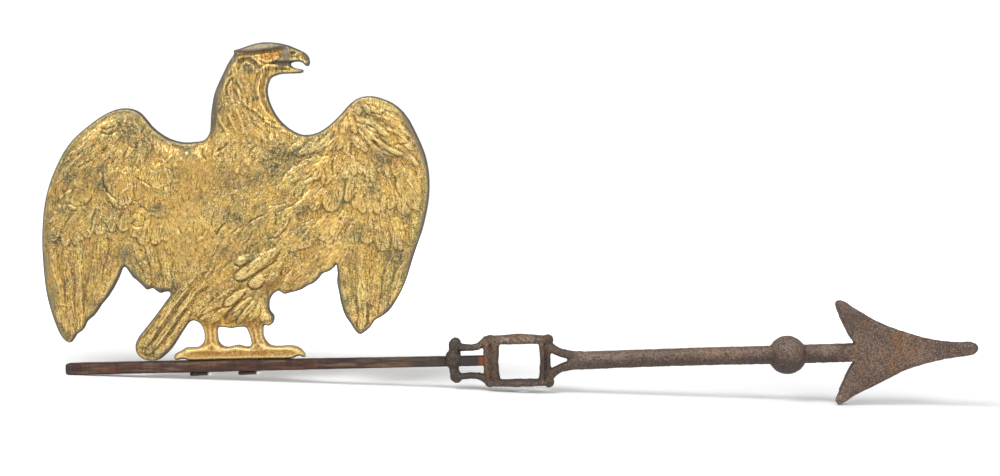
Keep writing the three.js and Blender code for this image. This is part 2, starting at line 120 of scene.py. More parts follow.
def coats(tree, place, base, layers, masks):
    # colours laid one over another, each where its noise, or the mask it names, is high, and within a mask
    colour = base
    for s in layers:
        if "where" in s:
            mask = masks[s["where"]]
        else:
            settings = {"Scale": 1 / (s["size"] * mm), "Detail": s["detail"],
                        "Roughness": s.get("rough", 0.55)}
            mask = addNode(tree, "ShaderNodeTexNoise", settings, {"Vector": place}).outputs["Fac"]
        reach = {"From Min": s["low"], "From Max": s["high"], "To Max": s["share"]}
        share = addNode(tree, "ShaderNodeMapRange", reach, {"Value": mask}).outputs[0]
        if "within" in s:
            both = {0: share, 1: masks[s["within"]]}
            share = addNode(tree, "ShaderNodeMath", {"operation": "MULTIPLY"}, both).outputs[0]
        under = {6: linear(colour)} if isinstance(colour, str) else {}
        over = {0: share} if isinstance(colour, str) else {0: share, 6: colour}
        settings = {"data_type": "RGBA", **under, 7: linear(s["colour"])}
        colour = addNode(tree, "ShaderNodeMix", settings, over).outputs[2]
    return colour


def newPiece(name, bm, material, node):
    bmesh.ops.recalc_face_normals(bm, faces=bm.faces)
    bmesh.ops.scale(bm, vec=(mm, mm, mm), verts=bm.verts)
    mesh = bpy.data.meshes.new(name)
    bm.to_mesh(mesh)
    bm.free()
    piece = bpy.data.objects.new(name, mesh)
    scene.collection.objects.link(piece)
    mesh.materials.append(material)
    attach(piece, "root")
    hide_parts(node)
    return piece


def applyModifiers(piece):
    graph = bpy.context.evaluated_depsgraph_get()
    mesh = bpy.data.meshes.new_from_object(piece.evaluated_get(graph))
    old = piece.data
    piece.modifiers.clear()
    piece.data = mesh
    mesh.name = old.name
    bpy.data.meshes.remove(old)
    for face in mesh.polygons:
        face.use_smooth = True


def makeRoom(s):
    # the room lights the vane less than it shows behind it
    world = bpy.data.worlds.new("studio")
    scene.world = world
    world.use_nodes = True
    background = world.node_tree.nodes["Background"]
    background.inputs["Color"].default_value = (1, 1, 1, 1)
    seen = addNode(world.node_tree, "ShaderNodeLightPath").outputs["Is Camera Ray"]
    reach = {"To Min": s["roomLight"], "To Max": s["roomSeen"]}
    strength = addNode(world.node_tree, "ShaderNodeMapRange", reach, {"Value": seen}).outputs[0]
    world.node_tree.links.new(strength, background.inputs["Strength"])
    scene.view_settings.view_transform = "Standard"


def makeFloor(s):
    bm = bmesh.new()
    bmesh.ops.create_grid(bm, x_segments=1, y_segments=1, size=s["floorHalf"])
    (x0, z0), (x1, z1) = s["floorUnder"]
    slope = math.atan2(z0 - z1, x1 - x0)
    place = Matrix.Translation((x1 * mm, 0, z1 * mm)) @ Matrix.Rotation(slope, 4, "Y")
    bmesh.ops.transform(bm, matrix=place, verts=bm.verts)
    mesh = bpy.data.meshes.new("floor")
    bm.to_mesh(mesh)
    bm.free()
    floor = bpy.data.objects.new("floor", mesh)
    scene.collection.objects.link(floor)
    mesh.materials.append(whiteCard(s))


def whiteCard(s):
    # white card, matt, lit up towards its far end so that it runs into the white behind it
    material, tree = newMaterial("white_card")
    place = addNode(tree, "ShaderNodeTexCoord").outputs["Object"]
    far = addNode(tree, "ShaderNodeSeparateXYZ", links={"Vector": place}).outputs["Y"]
    (near, full), (low, high) = s["floorFades"], s["floorGlow"]
    reach = {"From Min": near, "From Max": full, "To Min": low, "To Max": high}
    glow = addNode(tree, "ShaderNodeMapRange", reach, {"Value": far}).outputs[0]
    card = {"Base Color": linear("#f4f4f4"), "Roughness": 0.9, "Emission Color": (1, 1, 1, 1)}
    shader = addNode(tree, "ShaderNodeBsdfPrincipled", card, {"Emission Strength": glow})
    addNode(tree, "ShaderNodeOutputMaterial", links={"Surface": shader.outputs[0]})
    return material


makeCamera(studio)
makeRoom(studio)
for light in studio["lights"]:
    makeLight(*light)
makeFloor(studio)
print("camera, light and floor ready")


# The eagle: outline, feathers and relief

eagle = {
    "outline": [  # mm, seen from the front
        (-309, 204.5), (-319.1, 202.7), (-330.9, 202.7), (-342.6, 206), (-352.3, 211.6), (-359.9, 218.1),
        (-366.9, 226.9), (-373.4, 233.7), (-382, 237.2), (-391.9, 237.3), (-402.5, 234.2), (-413.7, 228.2),
        (-426.1, 219.3), (-437.5, 209.9), (-447.7, 198.1), (-455.5, 184.7), (-462.6, 169.5),
        (-468.2, 152.8), (-472, 132.9), (-474.1, 108), (-474, 90), (-473.2, 72.9), (-471.8, 57.6),
        (-468.6, 41.3), (-463.8, 25), (-458.5, 12.3), (-453.7, 6.4), (-449, 4.8), (-446, 8), (-442.2, 13.3),
        (-436.2, 17.6), (-431.4, 26), (-424.3, 31.8), (-416.7, 42.3), (-409.7, 50.3), (-403.7, 59.3),
        (-398.4, 69.1), (-393.8, 79), (-391.6, 78.9), (-387.9, 73.8), (-385, 69.2), (-380.9, 65.7),
        (-375.5, 60.5), (-371, 56), (-367.5, 56.8), (-364.8, 57.4), (-361.6, 54.8), (-357.4, 52.4),
        (-353.5, 53.4), (-349.3, 53.6), (-347.6, 51.4), (-353, 43.5), (-363.6, 29.6), (-374.2, 16.7),
        (-381.6, 7.3), (-384.2, 0), (-382.6, -8.1), (-376.6, -13.4), (-368.6, -15.2), (-361.2, -14.3),
        (-355.5, -10.5), (-348, -3.5), (-341, 6.5), (-335, 15.5), (-329.5, 22.5), (-325.5, 24.3),
        (-320.5, 22.3), (-316.5, 17), (-315, 10.5), (-315.2, 4.5), (-317.5, 0), (-322, -2.6), (-328, -2.7),
        (-333, -2.8), (-338.5, -6), (-344.5, -9.1), (-346.4, -14), (-342.5, -15.2), (-338.9, -14.3),
        (-335.6, -14.3), (-331, -15.9), (-300, -15.9), (-262, -15.9), (-227, -15.9), (-224, -14.4),
        (-221, -13.5), (-218.2, -14.2), (-215.6, -15.8), (-214.1, -14), (-215.3, -10.4), (-218.1, -6.9),
        (-222.5, -4.1), (-230, -2.7), (-239, -3.2), (-248.3, -2.2), (-254, 3.6), (-255.9, 11.5),
        (-254.6, 17.8), (-250.1, 17.4), (-245.5, 20.8), (-244.5, 27.2), (-248.5, 33), (-249, 40.5),
        (-247, 46.5), (-243.5, 50.3), (-239.5, 52.2), (-234, 49), (-227.5, 50.2), (-216.3, 53.1),
        (-210.2, 56.8), (-204.2, 59.2), (-198.6, 64.2), (-195, 68.6), (-188.1, 71), (-183.1, 74.9),
        (-181.2, 77.4), (-180, 70), (-180.8, 60), (-179, 49.3), (-177.2, 38), (-173.6, 26.5),
        (-168.4, 18.3), (-164.2, 11.3), (-159.4, 7), (-154, 9.5), (-148.9, 13.9), (-143.6, 20.9),
        (-137, 24.4), (-129, 30.5), (-122.7, 39.3), (-116.6, 49.6), (-110.8, 62.8), (-105.7, 78.4),
        (-100.2, 93.9), (-94.5, 109.1), (-89.7, 126.9), (-86.8, 142.9), (-86, 157), (-86.8, 171),
        (-89.6, 185), (-94, 197.2), (-99.4, 209.4), (-105.1, 220.8), (-112.3, 230.2), (-120.5, 236.9),
        (-130.3, 241.5), (-138.1, 243.9), (-146, 244.5), (-153.8, 243.1), (-160.9, 239.1), (-167.2, 233.2),
        (-173.2, 226.5), (-180.7, 219.5), (-187.8, 213.9), (-195.1, 209.8), (-203.4, 207.5),
        (-211.5, 207.6), (-218.7, 210.4), (-226.3, 215.5), (-233.4, 222.5), (-238.7, 230.5),
        (-242.5, 238.8), (-244.8, 247.2), (-245, 253.6), (-243.6, 259.6), (-241, 264.4), (-235.6, 267.1),
        (-230.9, 268.2), (-223.1, 268.4), (-216, 268.6), (-210, 269.2), (-207.3, 270.9), (-210.6, 272.4),
        (-216.6, 273.8), (-219.8, 275.3), (-221.2, 277.1), (-221, 278.6), (-217.4, 280), (-213, 280.2),
        (-209.6, 279), (-207, 276.6), (-205, 275.4), (-202.9, 276.6), (-202.2, 280.5), (-203.4, 284.9),
        (-206.2, 288.3), (-210.8, 291.1), (-216.6, 293.8), (-223.4, 296.7), (-231.3, 298.7),
        (-240.1, 299.9), (-248.9, 300), (-257.7, 298.5), (-265.5, 296.1), (-272.5, 293.9), (-277.2, 292.6),
        (-277.5, 291.6), (-277.4, 288.8), (-281.3, 283.3), (-285.4, 276.5), (-289.6, 267.9),
        (-294.3, 258.7), (-298, 249.6), (-300.2, 239.6), (-301.8, 229.6), (-302.6, 219.4), (-303.9, 211.1),
    ],
    "legHole": [
        (-300.6, 16.4), (-301.4, 9), (-300.6, 3), (-297.5, -1.2), (-292, -3), (-286, -2), (-281, -1.2),
        (-276, -2.4), (-270.5, -3.2), (-268.3, -1), (-268.6, 4), (-270.4, 10), (-273.3, 16), (-280, 16.8),
        (-287.5, 15.8), (-294.5, 16.9),
    ],
    "half": 8.5,  # mm, half the casting's thickness, then at its rim and on its slim legs
    "rimHalf": 4.5,
    "legHalf": 7.2,
    "swells": [  # x, z, reach along x and z, rise
        (-268, 152, 66, 78, 10.5), (-274, 74, 44, 36, 5), (-272, 236, 28, 48, 5), (-250, 284, 28, 20, 4),
        (-395, 190, 62, 36, 2.5), (-142, 196, 46, 38, 2.5), (-450, 34, 34, 66, -3), (-150, 36, 34, 52, -3),
        (-372, -4, 30, 30, -2.5), (-206, 284, 12, 14, -4),
    ],
    "legLines": [
        [(-309, 22), (-308.5, -6)], [(-264.5, 22), (-261.5, -6)],
        [(-342, -12), (-328, -9.3), (-231, -9.3), (-216, -13)],
    ],
    "rolledEdges": [  # smooth leading edges of the wings
        [(-466, 42), (-474, 100), (-469, 153), (-449, 199), (-427, 220), (-403, 235), (-390, 238),
         (-374, 233), (-361, 217), (-343, 205), (-320, 202)],
        [(-203, 208), (-181, 220), (-168, 234), (-154, 244), (-138, 244.5), (-120, 238), (-104, 221),
         (-93, 197), (-87, 171), (-87, 143), (-94, 109), (-104, 78), (-110, 62)],
    ],
    "wornFlat": [  # x, z, reach along x and z: places rubbed nearly smooth
        (-180, 91, 17, 14), (-330, 120, 20, 30), (-430, 160, 13, 18), (-196, 84, 14, 9),
        (-330, 100, 14, 20), (-264, 270, 8, 8), (-398, 60, 8, 22), (-320, 176, 16, 12), (-250, 250, 8, 22),
        (-104, 140, 10, 16),
    ],
    "bareMetalAndShade": [  # how bare, width and line: places rubbed down to the grey casting, and painted shade in the gape and on lower edges
        (0.6, 6, [(-304, 214), (-301, 226), (-298, 246), (-294, 258)]),
        # at the beak: painted shade in front of the eye and along the gape
        (0.5, 6.5, [(-227, 291), (-226, 283)]), (0.85, 3.2, [(-236, 280.2), (-222, 279.6)]),
        (0.8, 2.6, [(-222, 295.6), (-210, 290.6), (-205, 285), (-204, 278)]),
        (0.6, 6, [(-279, 288), (-287, 274), (-293, 260)]),
        (0.3, 5, [(-414, 229), (-400, 235), (-388, 237), (-374, 231)]),
        (0.5, 4, [(-349, 207), (-335, 203), (-320, 203)]), (0.2, 4, [(-470, 70), (-473, 105), (-470, 140)]),
        # darkened edges of the lower feathers and the tail: painted shade over bare metal
        (0.65, 4, [(-393, 79), (-398, 69), (-410, 50), (-424, 32), (-432, 26)]),
        (0.5, 3, [(-474, 95), (-472, 57), (-464, 25), (-454, 6)]),
        (0.65, 5, [(-388, 74), (-381, 66), (-371, 57), (-361, 55), (-350, 54)]),
        (0.3, 3, [(-392.5, 100), (-393.5, 80)]),
        (0.7, 3.6, [(-359, -13), (-350, -5), (-342, 5), (-334, 15)]),
        (0.7, 3, [(-180, 72), (-179, 49), (-173, 26), (-164, 11), (-159, 7)]),
        (0.6, 2.6, [(-159, 7), (-149, 14), (-137, 24), (-123, 39)]),
        (0.5, 3, [(-218, 53), (-205, 59), (-196, 67)]),
    ],
    "warmAndBrowShade": [  # x, z, radius, strength: orange-brown places in the creases, and painted shade under the brow round the eye
        (-300, 30, 13, 0.35), (-289, 26, 6, 0.7), (-264, 23, 6, 0.8), (-325, 26, 8, 0.6),
        (-237, 288.5, 7, 1.0), (-246, 287, 5, 1.0), (-230, 290, 4, 0.8), (-262, 288, 9, 0.7),
        (-306, 52, 14, 0.35), (-222, 56, 14, 0.4), (-370, 62, 12, 0.4), (-252, 62, 12, 0.4),
    ],
    "tarnishAndShade": [  # x, z, radius, strength: dark grey-green places, and painted shade below the left wing's coverts and in the gape
        (-413, 164, 7, 0.8), (-414, 178, 5, 0.9), (-410, 156, 5, 0.7), (-447, 168, 7, 0.7),
        (-446, 190, 12, 0.4), (-460, 141, 10, 0.6), (-463, 108, 8, 0.9), (-430, 140, 8, 0.5),
        (-402, 135, 7, 0.5), (-382, 216, 12, 0.75), (-394, 223, 7, 0.6), (-364, 206, 9, 0.7),
        (-327, 195, 7, 0.9), (-358, 137, 6, 1.0), (-347, 171, 7, 0.4), (-297, 238, 6, 1.0),
        (-303, 223, 6, 0.8), (-263, 164, 10, 0.6), (-242, 172, 11, 1.0), (-236, 189, 11, 0.9),
        (-290, 165, 10, 0.5), (-316, 148, 6, 0.4), (-285, 126, 11, 0.55), (-277, 126, 4, 1.0),
        (-264, 118, 9, 0.5), (-255, 134, 10, 0.5), (-292, 93, 6, 0.8), (-265, 91, 11, 0.7),
        (-245, 101, 7, 0.7), (-215, 110, 6, 0.8), (-450, 86, 4, 0.8), (-423, 41, 8, 0.7),
        # from (-394, 92) to (-343, 56): painted shade below the left wing's coverts
        (-452, 10, 6, 0.9), (-439, 64, 11, 0.3), (-466, 53, 7, 0.6), (-394, 92, 7, 1.0), (-379, 82, 8, 0.9),
        (-360, 68, 7, 0.9), (-343, 56, 7, 0.9), (-349, 20, 6, 0.6), (-217, 185, 12, 0.8),
        (-203, 197, 9, 0.7), (-187, 208, 8, 0.7), (-214, 135, 7, 0.7), (-230, 150, 6, 0.3),
        (-144, 151, 8, 1.0), (-134, 182, 9, 1.0), (-157, 110, 9, 0.8), (-102, 98, 5, 0.7),
        (-121, 80, 14, 0.85), (-151, 230, 10, 0.4), (-176, 140, 6, 0.6), (-98, 145, 6, 0.3),
        (-109, 186, 5, 0.5), (-172, 58, 5, 1.0), (-171, 40, 5, 0.9), (-166, 82, 8, 0.4),
        (-110, 124, 6, 0.7), (-134, 46, 6, 0.5), (-266, 277, 6, 0.7), (-266, 287, 6, 0.5),
        (-226, 288, 5, 0.9), (-229, 280, 6, 1.0), (-220, 290, 5, 0.5), (-231, 275, 5, 0.5),
        (-261, 282, 5, 0.6), (-266, 272, 5, 0.6), (-294, 236, 6, 0.6), (-297, 219, 5, 0.6),
        (-370, -5, 10, 0.5), (-253, 44, 6, 0.6),
    ],
    "paintedHighlightLines": [  # how pale, width and line: painted highlight along ridges and the rolled edge
        (0.9, 2.2, [(-435, 202), (-426, 210), (-419, 217), (-409, 223), (-396, 229)]),
        (0.5, 1.6, [(-433, 199), (-423, 206), (-413, 213)]),
        (1.0, 2.0, [(-140, 202), (-132, 197), (-126, 193), (-122, 188)]),
        (0.9, 1.7, [(-155, 211), (-149, 204), (-144, 198)]),
        (0.7, 1.6, [(-123, 192), (-115, 188), (-112, 185)]),
        (0.6, 1.6, [(-154, 236), (-145, 238), (-137, 237), (-126, 232)]),
        (0.8, 3.0, [(-280, 68), (-271, 73), (-258, 80), (-246, 87)]),
        (0.9, 2.2, [(-267, 58), (-261, 61), (-255, 65)]),
        (0.5, 2.4, [(-291, 40), (-282, 47), (-275, 52)]),
        (0.8, 1.5, [(-321, 32), (-308, 41), (-295, 50), (-286, 55)]),
        (0.8, 1.5, [(-318, 25), (-309, 28), (-300, 33)]),
        (0.6, 1.4, [(-373, 3), (-360, 20), (-346, 38), (-331, 56)]),
        (0.6, 1.4, [(-364, -2), (-350, 17), (-336, 36)]),
        (0.7, 1.5, [(-312, -4), (-308, 0), (-304, -5)]),
        (0.8, 1.7, [(-262, -6), (-258, -3), (-252, -7)]),
        (0.5, 1.6, [(-329, -4), (-317, -4)]),
    ],
    "dull": [  # x, z, radius, strength: broad places where the leaf has gone olive
        (-440, 190, 28, 0.7), (-395, 217, 26, 0.8), (-456, 140, 22, 0.6), (-425, 112, 26, 0.6),
        (-382, 104, 24, 0.6), (-430, 60, 28, 0.3), (-240, 180, 24, 0.6), (-215, 118, 16, 0.5),
        (-272, 120, 18, 0.5), (-290, 160, 18, 0.5), (-262, 276, 16, 0.7), (-291, 236, 16, 0.6),
        (-140, 190, 18, 0.5), (-118, 88, 22, 0.5), (-150, 147, 12, 0.4), (-376, 220, 14, 1.0),
        (-428, 165, 13, 1.0), (-325, 190, 9, 1.0), (-142, 216, 7, 1.0), (-226, 174, 9, 0.8),
        (-236, 141, 9, 0.9), (-274, 152, 8, 0.9), (-104, 196, 6, 0.8), (-130, 90, 10, 0.8),
        (-205, 75, 10, 0.8), (-245, 97, 6, 0.8), (-290, 240, 8, 0.7), (-270, 262, 16, 0.7),
        (-283, 268, 12, 0.8), (-345, 60, 10, 0.7), (-370, -5, 14, 0.7), (-214, 289, 9, 0.9),
        (-232, 283, 8, 0.6), (-150, 232, 20, 0.4), (-440, 12, 12, 0.5),
    ],
    "paleLeafAndLight": [  # x, z, radius, strength: places where the leaf is whole and pale, and painted light under the body where its relief faces down
        (-320, 131, 14, 0.6), (-301, 139, 8, 0.5), (-330, 76, 11, 0.6), (-262, 72, 6, 0.6),
        (-248, 78, 6, 0.6), (-238, 82, 6, 0.4), (-272, 190, 6, 0.9), (-255, 192, 5, 0.7),
        (-257, 172, 6, 0.5), (-228, 156, 6, 0.6), (-215, 165, 6, 0.9), (-165, 172, 9, 0.8),
        (-144, 168, 7, 0.8), (-142, 208, 8, 0.9), (-150, 220, 6, 0.6), (-107, 228, 7, 1.0),
        (-145, 138, 10, 0.7), (-118, 135, 8, 0.5), (-180, 105, 10, 0.8), (-155, 56, 8, 0.5),
        (-245, 30, 6, 0.9), (-400, 195, 7, 0.8), (-376, 190, 8, 0.6), (-350, 152, 6, 0.7),
        (-302, 98, 6, 0.6), (-438, 98, 6, 0.5), (-185, 66, 8, 0.4), (-366, 178, 7, 0.4),
        (-293, 209, 7, 1.0), (-282, 188, 7, 0.7), (-345, 184, 7, 0.8), (-213, 158, 7, 0.9),
        (-132, 198, 9, 0.8), (-160, 168, 12, 0.9), (-345, 120, 12, 0.7), (-190, 97, 10, 0.8),
        (-165, 95, 10, 0.7), (-155, 48, 9, 0.7), (-95, 118, 6, 0.8), (-107, 142, 8, 0.6),
        (-230, 95, 8, 0.5), (-283, 33, 8, 0.8), (-268, 34, 8, 0.9), (-252, 25, 7, 1.0),
        (-330, 100, 10, 0.4),
    ],
}

# each row: kind, lift, how many, how uneven its tips, and stations of tip x, tip z, heading, length, width
featherRows = [
    # left wing: primaries, secondaries, then coverts up to the leading edge
    dict(kind="flight", lift=1.2, count=12, uneven=5,
         stations=[(-460, 22, -12, 96, 8), (-450, 7, -5, 110, 8), (-440, 14, 5, 104, 8),
                   (-427, 29, 14, 90, 8.5), (-414, 46, 20, 74, 8.5), (-404, 60, 23, 56, 9),
                   (-396, 78, 18, 42, 9)]),
    dict(kind="flight", lift=1.3, count=7, uneven=5,
         stations=[(-392, 80, -26, 40, 8.5), (-384, 69, -25, 46, 9), (-373, 57, -20, 54, 9),
                   (-360, 55, -12, 56, 9.5), (-350, 56, -4, 52, 9.5)]),
    dict(kind="covert", lift=1.5, count=6, uneven=8,
         stations=[(-466, 103, 30, 42, 12), (-446, 102, 30, 42, 13), (-427, 107, 26, 36, 13),
                   (-407, 110, 16, 30, 13)]),
    dict(kind="covert", lift=1.3, count=6, uneven=6,
         stations=[(-394, 113, 16, 28, 13), (-382, 108, 10, 30, 14), (-370, 102, 7, 34, 16),
                   (-354, 103, 2, 34, 15), (-338, 108, -10, 34, 13)]),
    dict(kind="wisp", lift=0.9, count=9, uneven=14,
         stations=[(-468, 128, 34, 34, 8), (-430, 124, 34, 36, 8)]),
    dict(kind="wisp", lift=0.8, count=12, uneven=18,
         stations=[(-462, 166, 44, 34, 7.5), (-430, 168, 36, 34, 7.5), (-405, 166, 20, 32, 8)]),
    dict(kind="wisp", lift=0.8, count=12, uneven=14,
         stations=[(-452, 186, 50, 30, 7), (-412, 184, 36, 30, 7), (-372, 186, 4, 28, 7.5)]),
    dict(kind="faint", lift=0.8, count=10, uneven=10,
         stations=[(-436, 202, 44, 22, 8), (-392, 206, 16, 22, 8), (-344, 188, -30, 26, 9)]),
    dict(kind="faint", lift=0.7, count=7, uneven=6,
         stations=[(-416, 219, 40, 16, 7.5), (-366, 210, -20, 18, 8)]),
    # right wing
    dict(kind="flight", lift=1.2, count=11, uneven=5,
         stations=[(-176, 42, -12, 46, 8), (-168, 22, -8, 70, 8), (-159, 9, -1, 86, 8.5),
                   (-149, 16, 6, 84, 9), (-137, 26, 13, 82, 9), (-123, 39, 19, 74, 9),
                   (-111, 60, 24, 60, 9), (-103, 80, 24, 44, 9)]),
    dict(kind="flight", lift=1.3, count=8, uneven=5,
         stations=[(-243, 51, 50, 60, 10), (-228, 53, 49, 60, 10), (-212, 58, 48, 50, 10),
                   (-198, 69, 46, 40, 10), (-184, 78, 36, 28, 10)]),
    dict(kind="covert", lift=1.5, count=6, uneven=8,
         stations=[(-240, 92, 52, 46, 13), (-218, 97, 48, 44, 13), (-203, 101, 44, 36, 13),
                   (-186, 106, 32, 28, 14)]),
    dict(kind="covert", lift=1.3, count=5, uneven=9,
         stations=[(-166, 103, 18, 28, 14), (-150, 97, 8, 30, 15), (-134, 92, -2, 34, 15),
                   (-116, 92, -10, 34, 15), (-100, 96, -12, 30, 14)]),
    dict(kind="covert", lift=1.7, count=4, uneven=6,
         stations=[(-250, 128, 52, 36, 13), (-232, 127, 48, 36, 13), (-206, 131, 36, 32, 13)]),
    dict(kind="covert", lift=1.2, count=7, uneven=12,
         stations=[(-170, 134, 14, 30, 9), (-150, 133, 8, 30, 9), (-124, 130, -4, 32, 9)]),
    dict(kind="small", lift=1.6, count=7, uneven=9,
         stations=[(-232, 164, 52, 30, 13), (-208, 161, 42, 32, 13), (-192, 158, 28, 34, 14),
                   (-172, 162, 12, 28, 14)]),
    dict(kind="small", lift=1.2, count=6, uneven=12,
         stations=[(-162, 164, -4, 26, 9), (-126, 162, -18, 30, 9)]),
    dict(kind="wisp", lift=1.2, count=7, uneven=8, stations=[(-228, 190, 54, 30, 9), (-206, 187, 48, 30, 9),
         (-186, 189, 34, 26, 9), (-168, 190, 10, 26, 9)]),
    dict(kind="ridge", lift=1.4, count=5, uneven=6,
         stations=[(-172, 206, 16, 18, 10), (-156, 207, -26, 22, 9), (-138, 208, -50, 26, 9),
                   (-124, 206, -56, 26, 9)]),
    dict(kind="ridge", lift=1.3, count=6, uneven=4,
         stations=[(-164, 224, 6, 14, 8), (-146, 226, -24, 16, 8), (-128, 222, -48, 18, 8),
                   (-113, 216, -50, 18, 8)]),
    # tail
    dict(kind="tail", lift=0.9, count=4, uneven=1,
         stations=[(-379.5, -2.5, 36, 96, 8.4), (-374.5, -9.5, 38, 104, 8.4), (-366.5, -12.5, 40, 108, 8.4),
                   (-358, -10, 42, 96, 8.4)]),
]

singleFeathers = [  # kind, lift, tip x, tip z, heading, length, width
    ("broad", 1.3, -443, 139, 28, 44, 27), ("broad", 2.4, -396, 139, 2, 42, 28),
    ("broad", 2.0, -353, 154, 4, 34, 31), ("broad", 1.4, -357, 128, -4, 34, 26),
    ("broad", 2.4, -186, 131, 12, 34, 19), ("soft", 1.5, -97, 128, -18, 54, 19),
    ("soft", 1.7, -111, 125, -8, 45, 17), ("ridge", 2.9, -130, 196, -54, 28, 8.5),
    ("ridge", 2.7, -112, 184, -62, 33, 9.5), ("ridge", 1.9, -108, 218, -59, 31, 8),
    ("ridge", 2.1, -101, 204, -60, 34, 8), ("ridge", 2.0, -101, 191, -50, 28, 9),
    ("ridge", 1.8, -98, 174, -40, 24, 9), ("ridge", 1.7, -148, 190, -40, 26, 10),
    ("ridge", 1.6, -128, 178, -50, 24, 9),
    # thighs
    ("lobe", 1.0, -328, 30, 47, 41, 8), ("lobe", 1.4, -320, 24, 49, 46, 9),
    ("lobe", 1.3, -309, 21, 50, 42, 8), ("lobe", 2.9, -295, 39, 57, 31, 12.5),
    ("lobe", 1.5, -293, 22, 47, 36, 10.5), ("lobe", 1.6, -282, 21, 41, 36, 9),
    ("lobe", 1.5, -269, 21, 31, 34, 9), ("lobe", 1.6, -258, 20, 16, 28, 9),
    ("lobe", 1.8, -251, 20, 4, 24, 9), ("lobe", 4.0, -283, 65, 56, 54, 15),
    ("lobe", 3.6, -283, 82, 71, 20, 9.5), ("lobe", 3.6, -269, 58, 66, 31, 12),
]


featherKinds = {
    # crown, middle rib, barbs, barb spacing, their slant, tip's start and bluntness, root, waviness,
    # softness, how evenly it stands up along its length, and how long its streaks are
    "tail": dict(crown=1.3, quill=0.0, barb=0.6, pitch=2.2, slant=2, tip=0.93, blunt=2.2, root=0.95,
                 wave=0.01, soft=0.8, hold=0.5, run=30),
    "flight": dict(crown=0.75, quill=0.15, barb=0.75, pitch=2.2, slant=3, tip=0.86, blunt=2.2, root=0.75,
                   wave=0.015, soft=0.6, hold=0.7, run=26),
    "covert": dict(crown=1.0, quill=0.1, barb=0.65, pitch=2.4, slant=9, tip=0.7, blunt=2, root=0.7,
                   wave=0.04, soft=0.8, hold=0.7, run=12),
    "broad": dict(crown=1.2, quill=0.0, barb=0.4, pitch=2.6, slant=14, tip=0.5, blunt=2.1, root=0.7,
                  wave=0.03, soft=1.1, hold=0.6, run=9),
    "soft": dict(crown=1.5, quill=0.0, barb=0.3, pitch=2.6, slant=6, tip=0.6, blunt=2, root=0.6, wave=0.04,
                 soft=1.3, hold=0.5, run=14),
    "faint": dict(crown=0.7, quill=0.0, barb=0.6, pitch=2.2, slant=6, tip=0.5, blunt=1.5, root=0.6,
                  wave=0.16, soft=0.8, hold=0.8, run=9),
    "small": dict(crown=1.0, quill=0.0, barb=0.55, pitch=2.4, slant=10, tip=0.5, blunt=1.6, root=0.6,
                  wave=0.1, soft=0.9, hold=0.7, run=10),
    "wisp": dict(crown=0.9, quill=0.0, barb=0.55, pitch=2.2, slant=3, tip=0.4, blunt=1.4, root=0.5,
                 wave=0.14, soft=0.8, hold=0.6, run=14),
    "ridge": dict(crown=1.6, quill=0.0, barb=0.4, pitch=2.4, slant=4, tip=0.5, blunt=1.7, root=0.5,
                  wave=0.12, soft=1.1, hold=0.5, run=12),
    "lobe": dict(crown=1.8, quill=0.0, barb=0.25, pitch=2.6, slant=3, tip=0.55, blunt=2, root=0.5,
                 wave=0.03, soft=1.2, hold=0.28, run=14),
    "down": dict(crown=0.8, quill=0.0, barb=0.65, pitch=2.1, slant=10, tip=0.35, blunt=1.5, root=0.5,
                 wave=0.16, soft=0.75, hold=0.8, run=8),
    "lock": dict(crown=0.8, quill=0.0, barb=0.35, pitch=1.9, slant=2, tip=0.35, blunt=1.3, root=0.5,
                 wave=0.3, soft=1.0, hold=0.7, run=10),
}

breast = {
    "step": 8.6,  # mm between the tips
    "rows": (44, 202),  # height of the lowest and highest row
    "edges": (-345, -235),
    "narrowing": [(84, 0.6), (95, 0.35)],  # left and right: the edge leans in below this height
    "guides": [  # x, z, heading, width and length there
        (-330, 190, 22, 12, 17), (-300, 195, 14, 11, 18), (-262, 195, -10, 11, 16), (-235, 195, 20, 12, 16),
        (-335, 165, 6, 14, 18), (-300, 160, 12, 13, 18), (-265, 160, 18, 13, 16), (-240, 165, 40, 14, 18),
        (-330, 120, -4, 14, 22), (-300, 125, 14, 12, 20), (-265, 120, 30, 11, 20), (-250, 130, 45, 12, 20),
        (-330, 85, 8, 12, 24), (-300, 85, 42, 9, 26), (-270, 95, 46, 9, 26), (-250, 90, 50, 9, 26),
        (-320, 55, 45, 8, 30), (-290, 60, 46, 9, 28), (-255, 60, 45, 9, 26),
    ],
}

neckLocks = [  # tip z, left and right x, heading at the left, middle and right, length, width
    (190, -306, -236, 48, -4, -48, 20, 7), (199, -302, -236, 36, -16, -50, 22, 6.4),
    (208, -299, -237, 20, -28, -50, 24, 6), (218, -298, -244, 6, -30, -46, 25, 5.6),
    (228, -297, -252, 0, -26, -36, 25, 5.4), (239, -295, -258, -4, -20, -24, 23, 5.2),
    (250, -292, -261, -8, -14, -14, 20, 5), (260, -289, -262, -12, -10, -8, 17, 4.8),
    (269, -284, -264, -16, -10, -4, 14, 4.6),
]

reliefSize = {
    "span": [(-477, -84), (-18, 304)],  # mm covered along x and z
    "pitch": 0.45,  # mm between heights
    "outlineSteps": 5,  # points of the smooth outline in each span
    "seed": 7,
    "warp": [(16, 1.4), (5.5, 0.55)],  # waves that make every feather a little irregular: length, reach
    "sink": -1.5,  # lowest ground between feathers
    "depth": 0.56,  # share of the feathers' relief that wear has left
    "wearSize": 21,  # mm across a patch that is more or less worn
    "lumps": [(2.9, 0.32, 400), (1.4, 0.22, 700)],  # rough skin: size, rise, which stretch of noise
    "hollowReach": 2.2,  # mm, the width that counts as a hollow or a ridge
    "rimWidth": 1.6,  # mm of bare metal along the outline, and how much more on the right wing's edges turned from the light, where the widening is painted shade
    "rimMore": (2.2, 4.4),
    "lowRim": 0.62,  # how dark the wide part of the rim is: bare metal and painted shade
    "backShare": 0.7,  # relief that the plainer back has of the front's
}


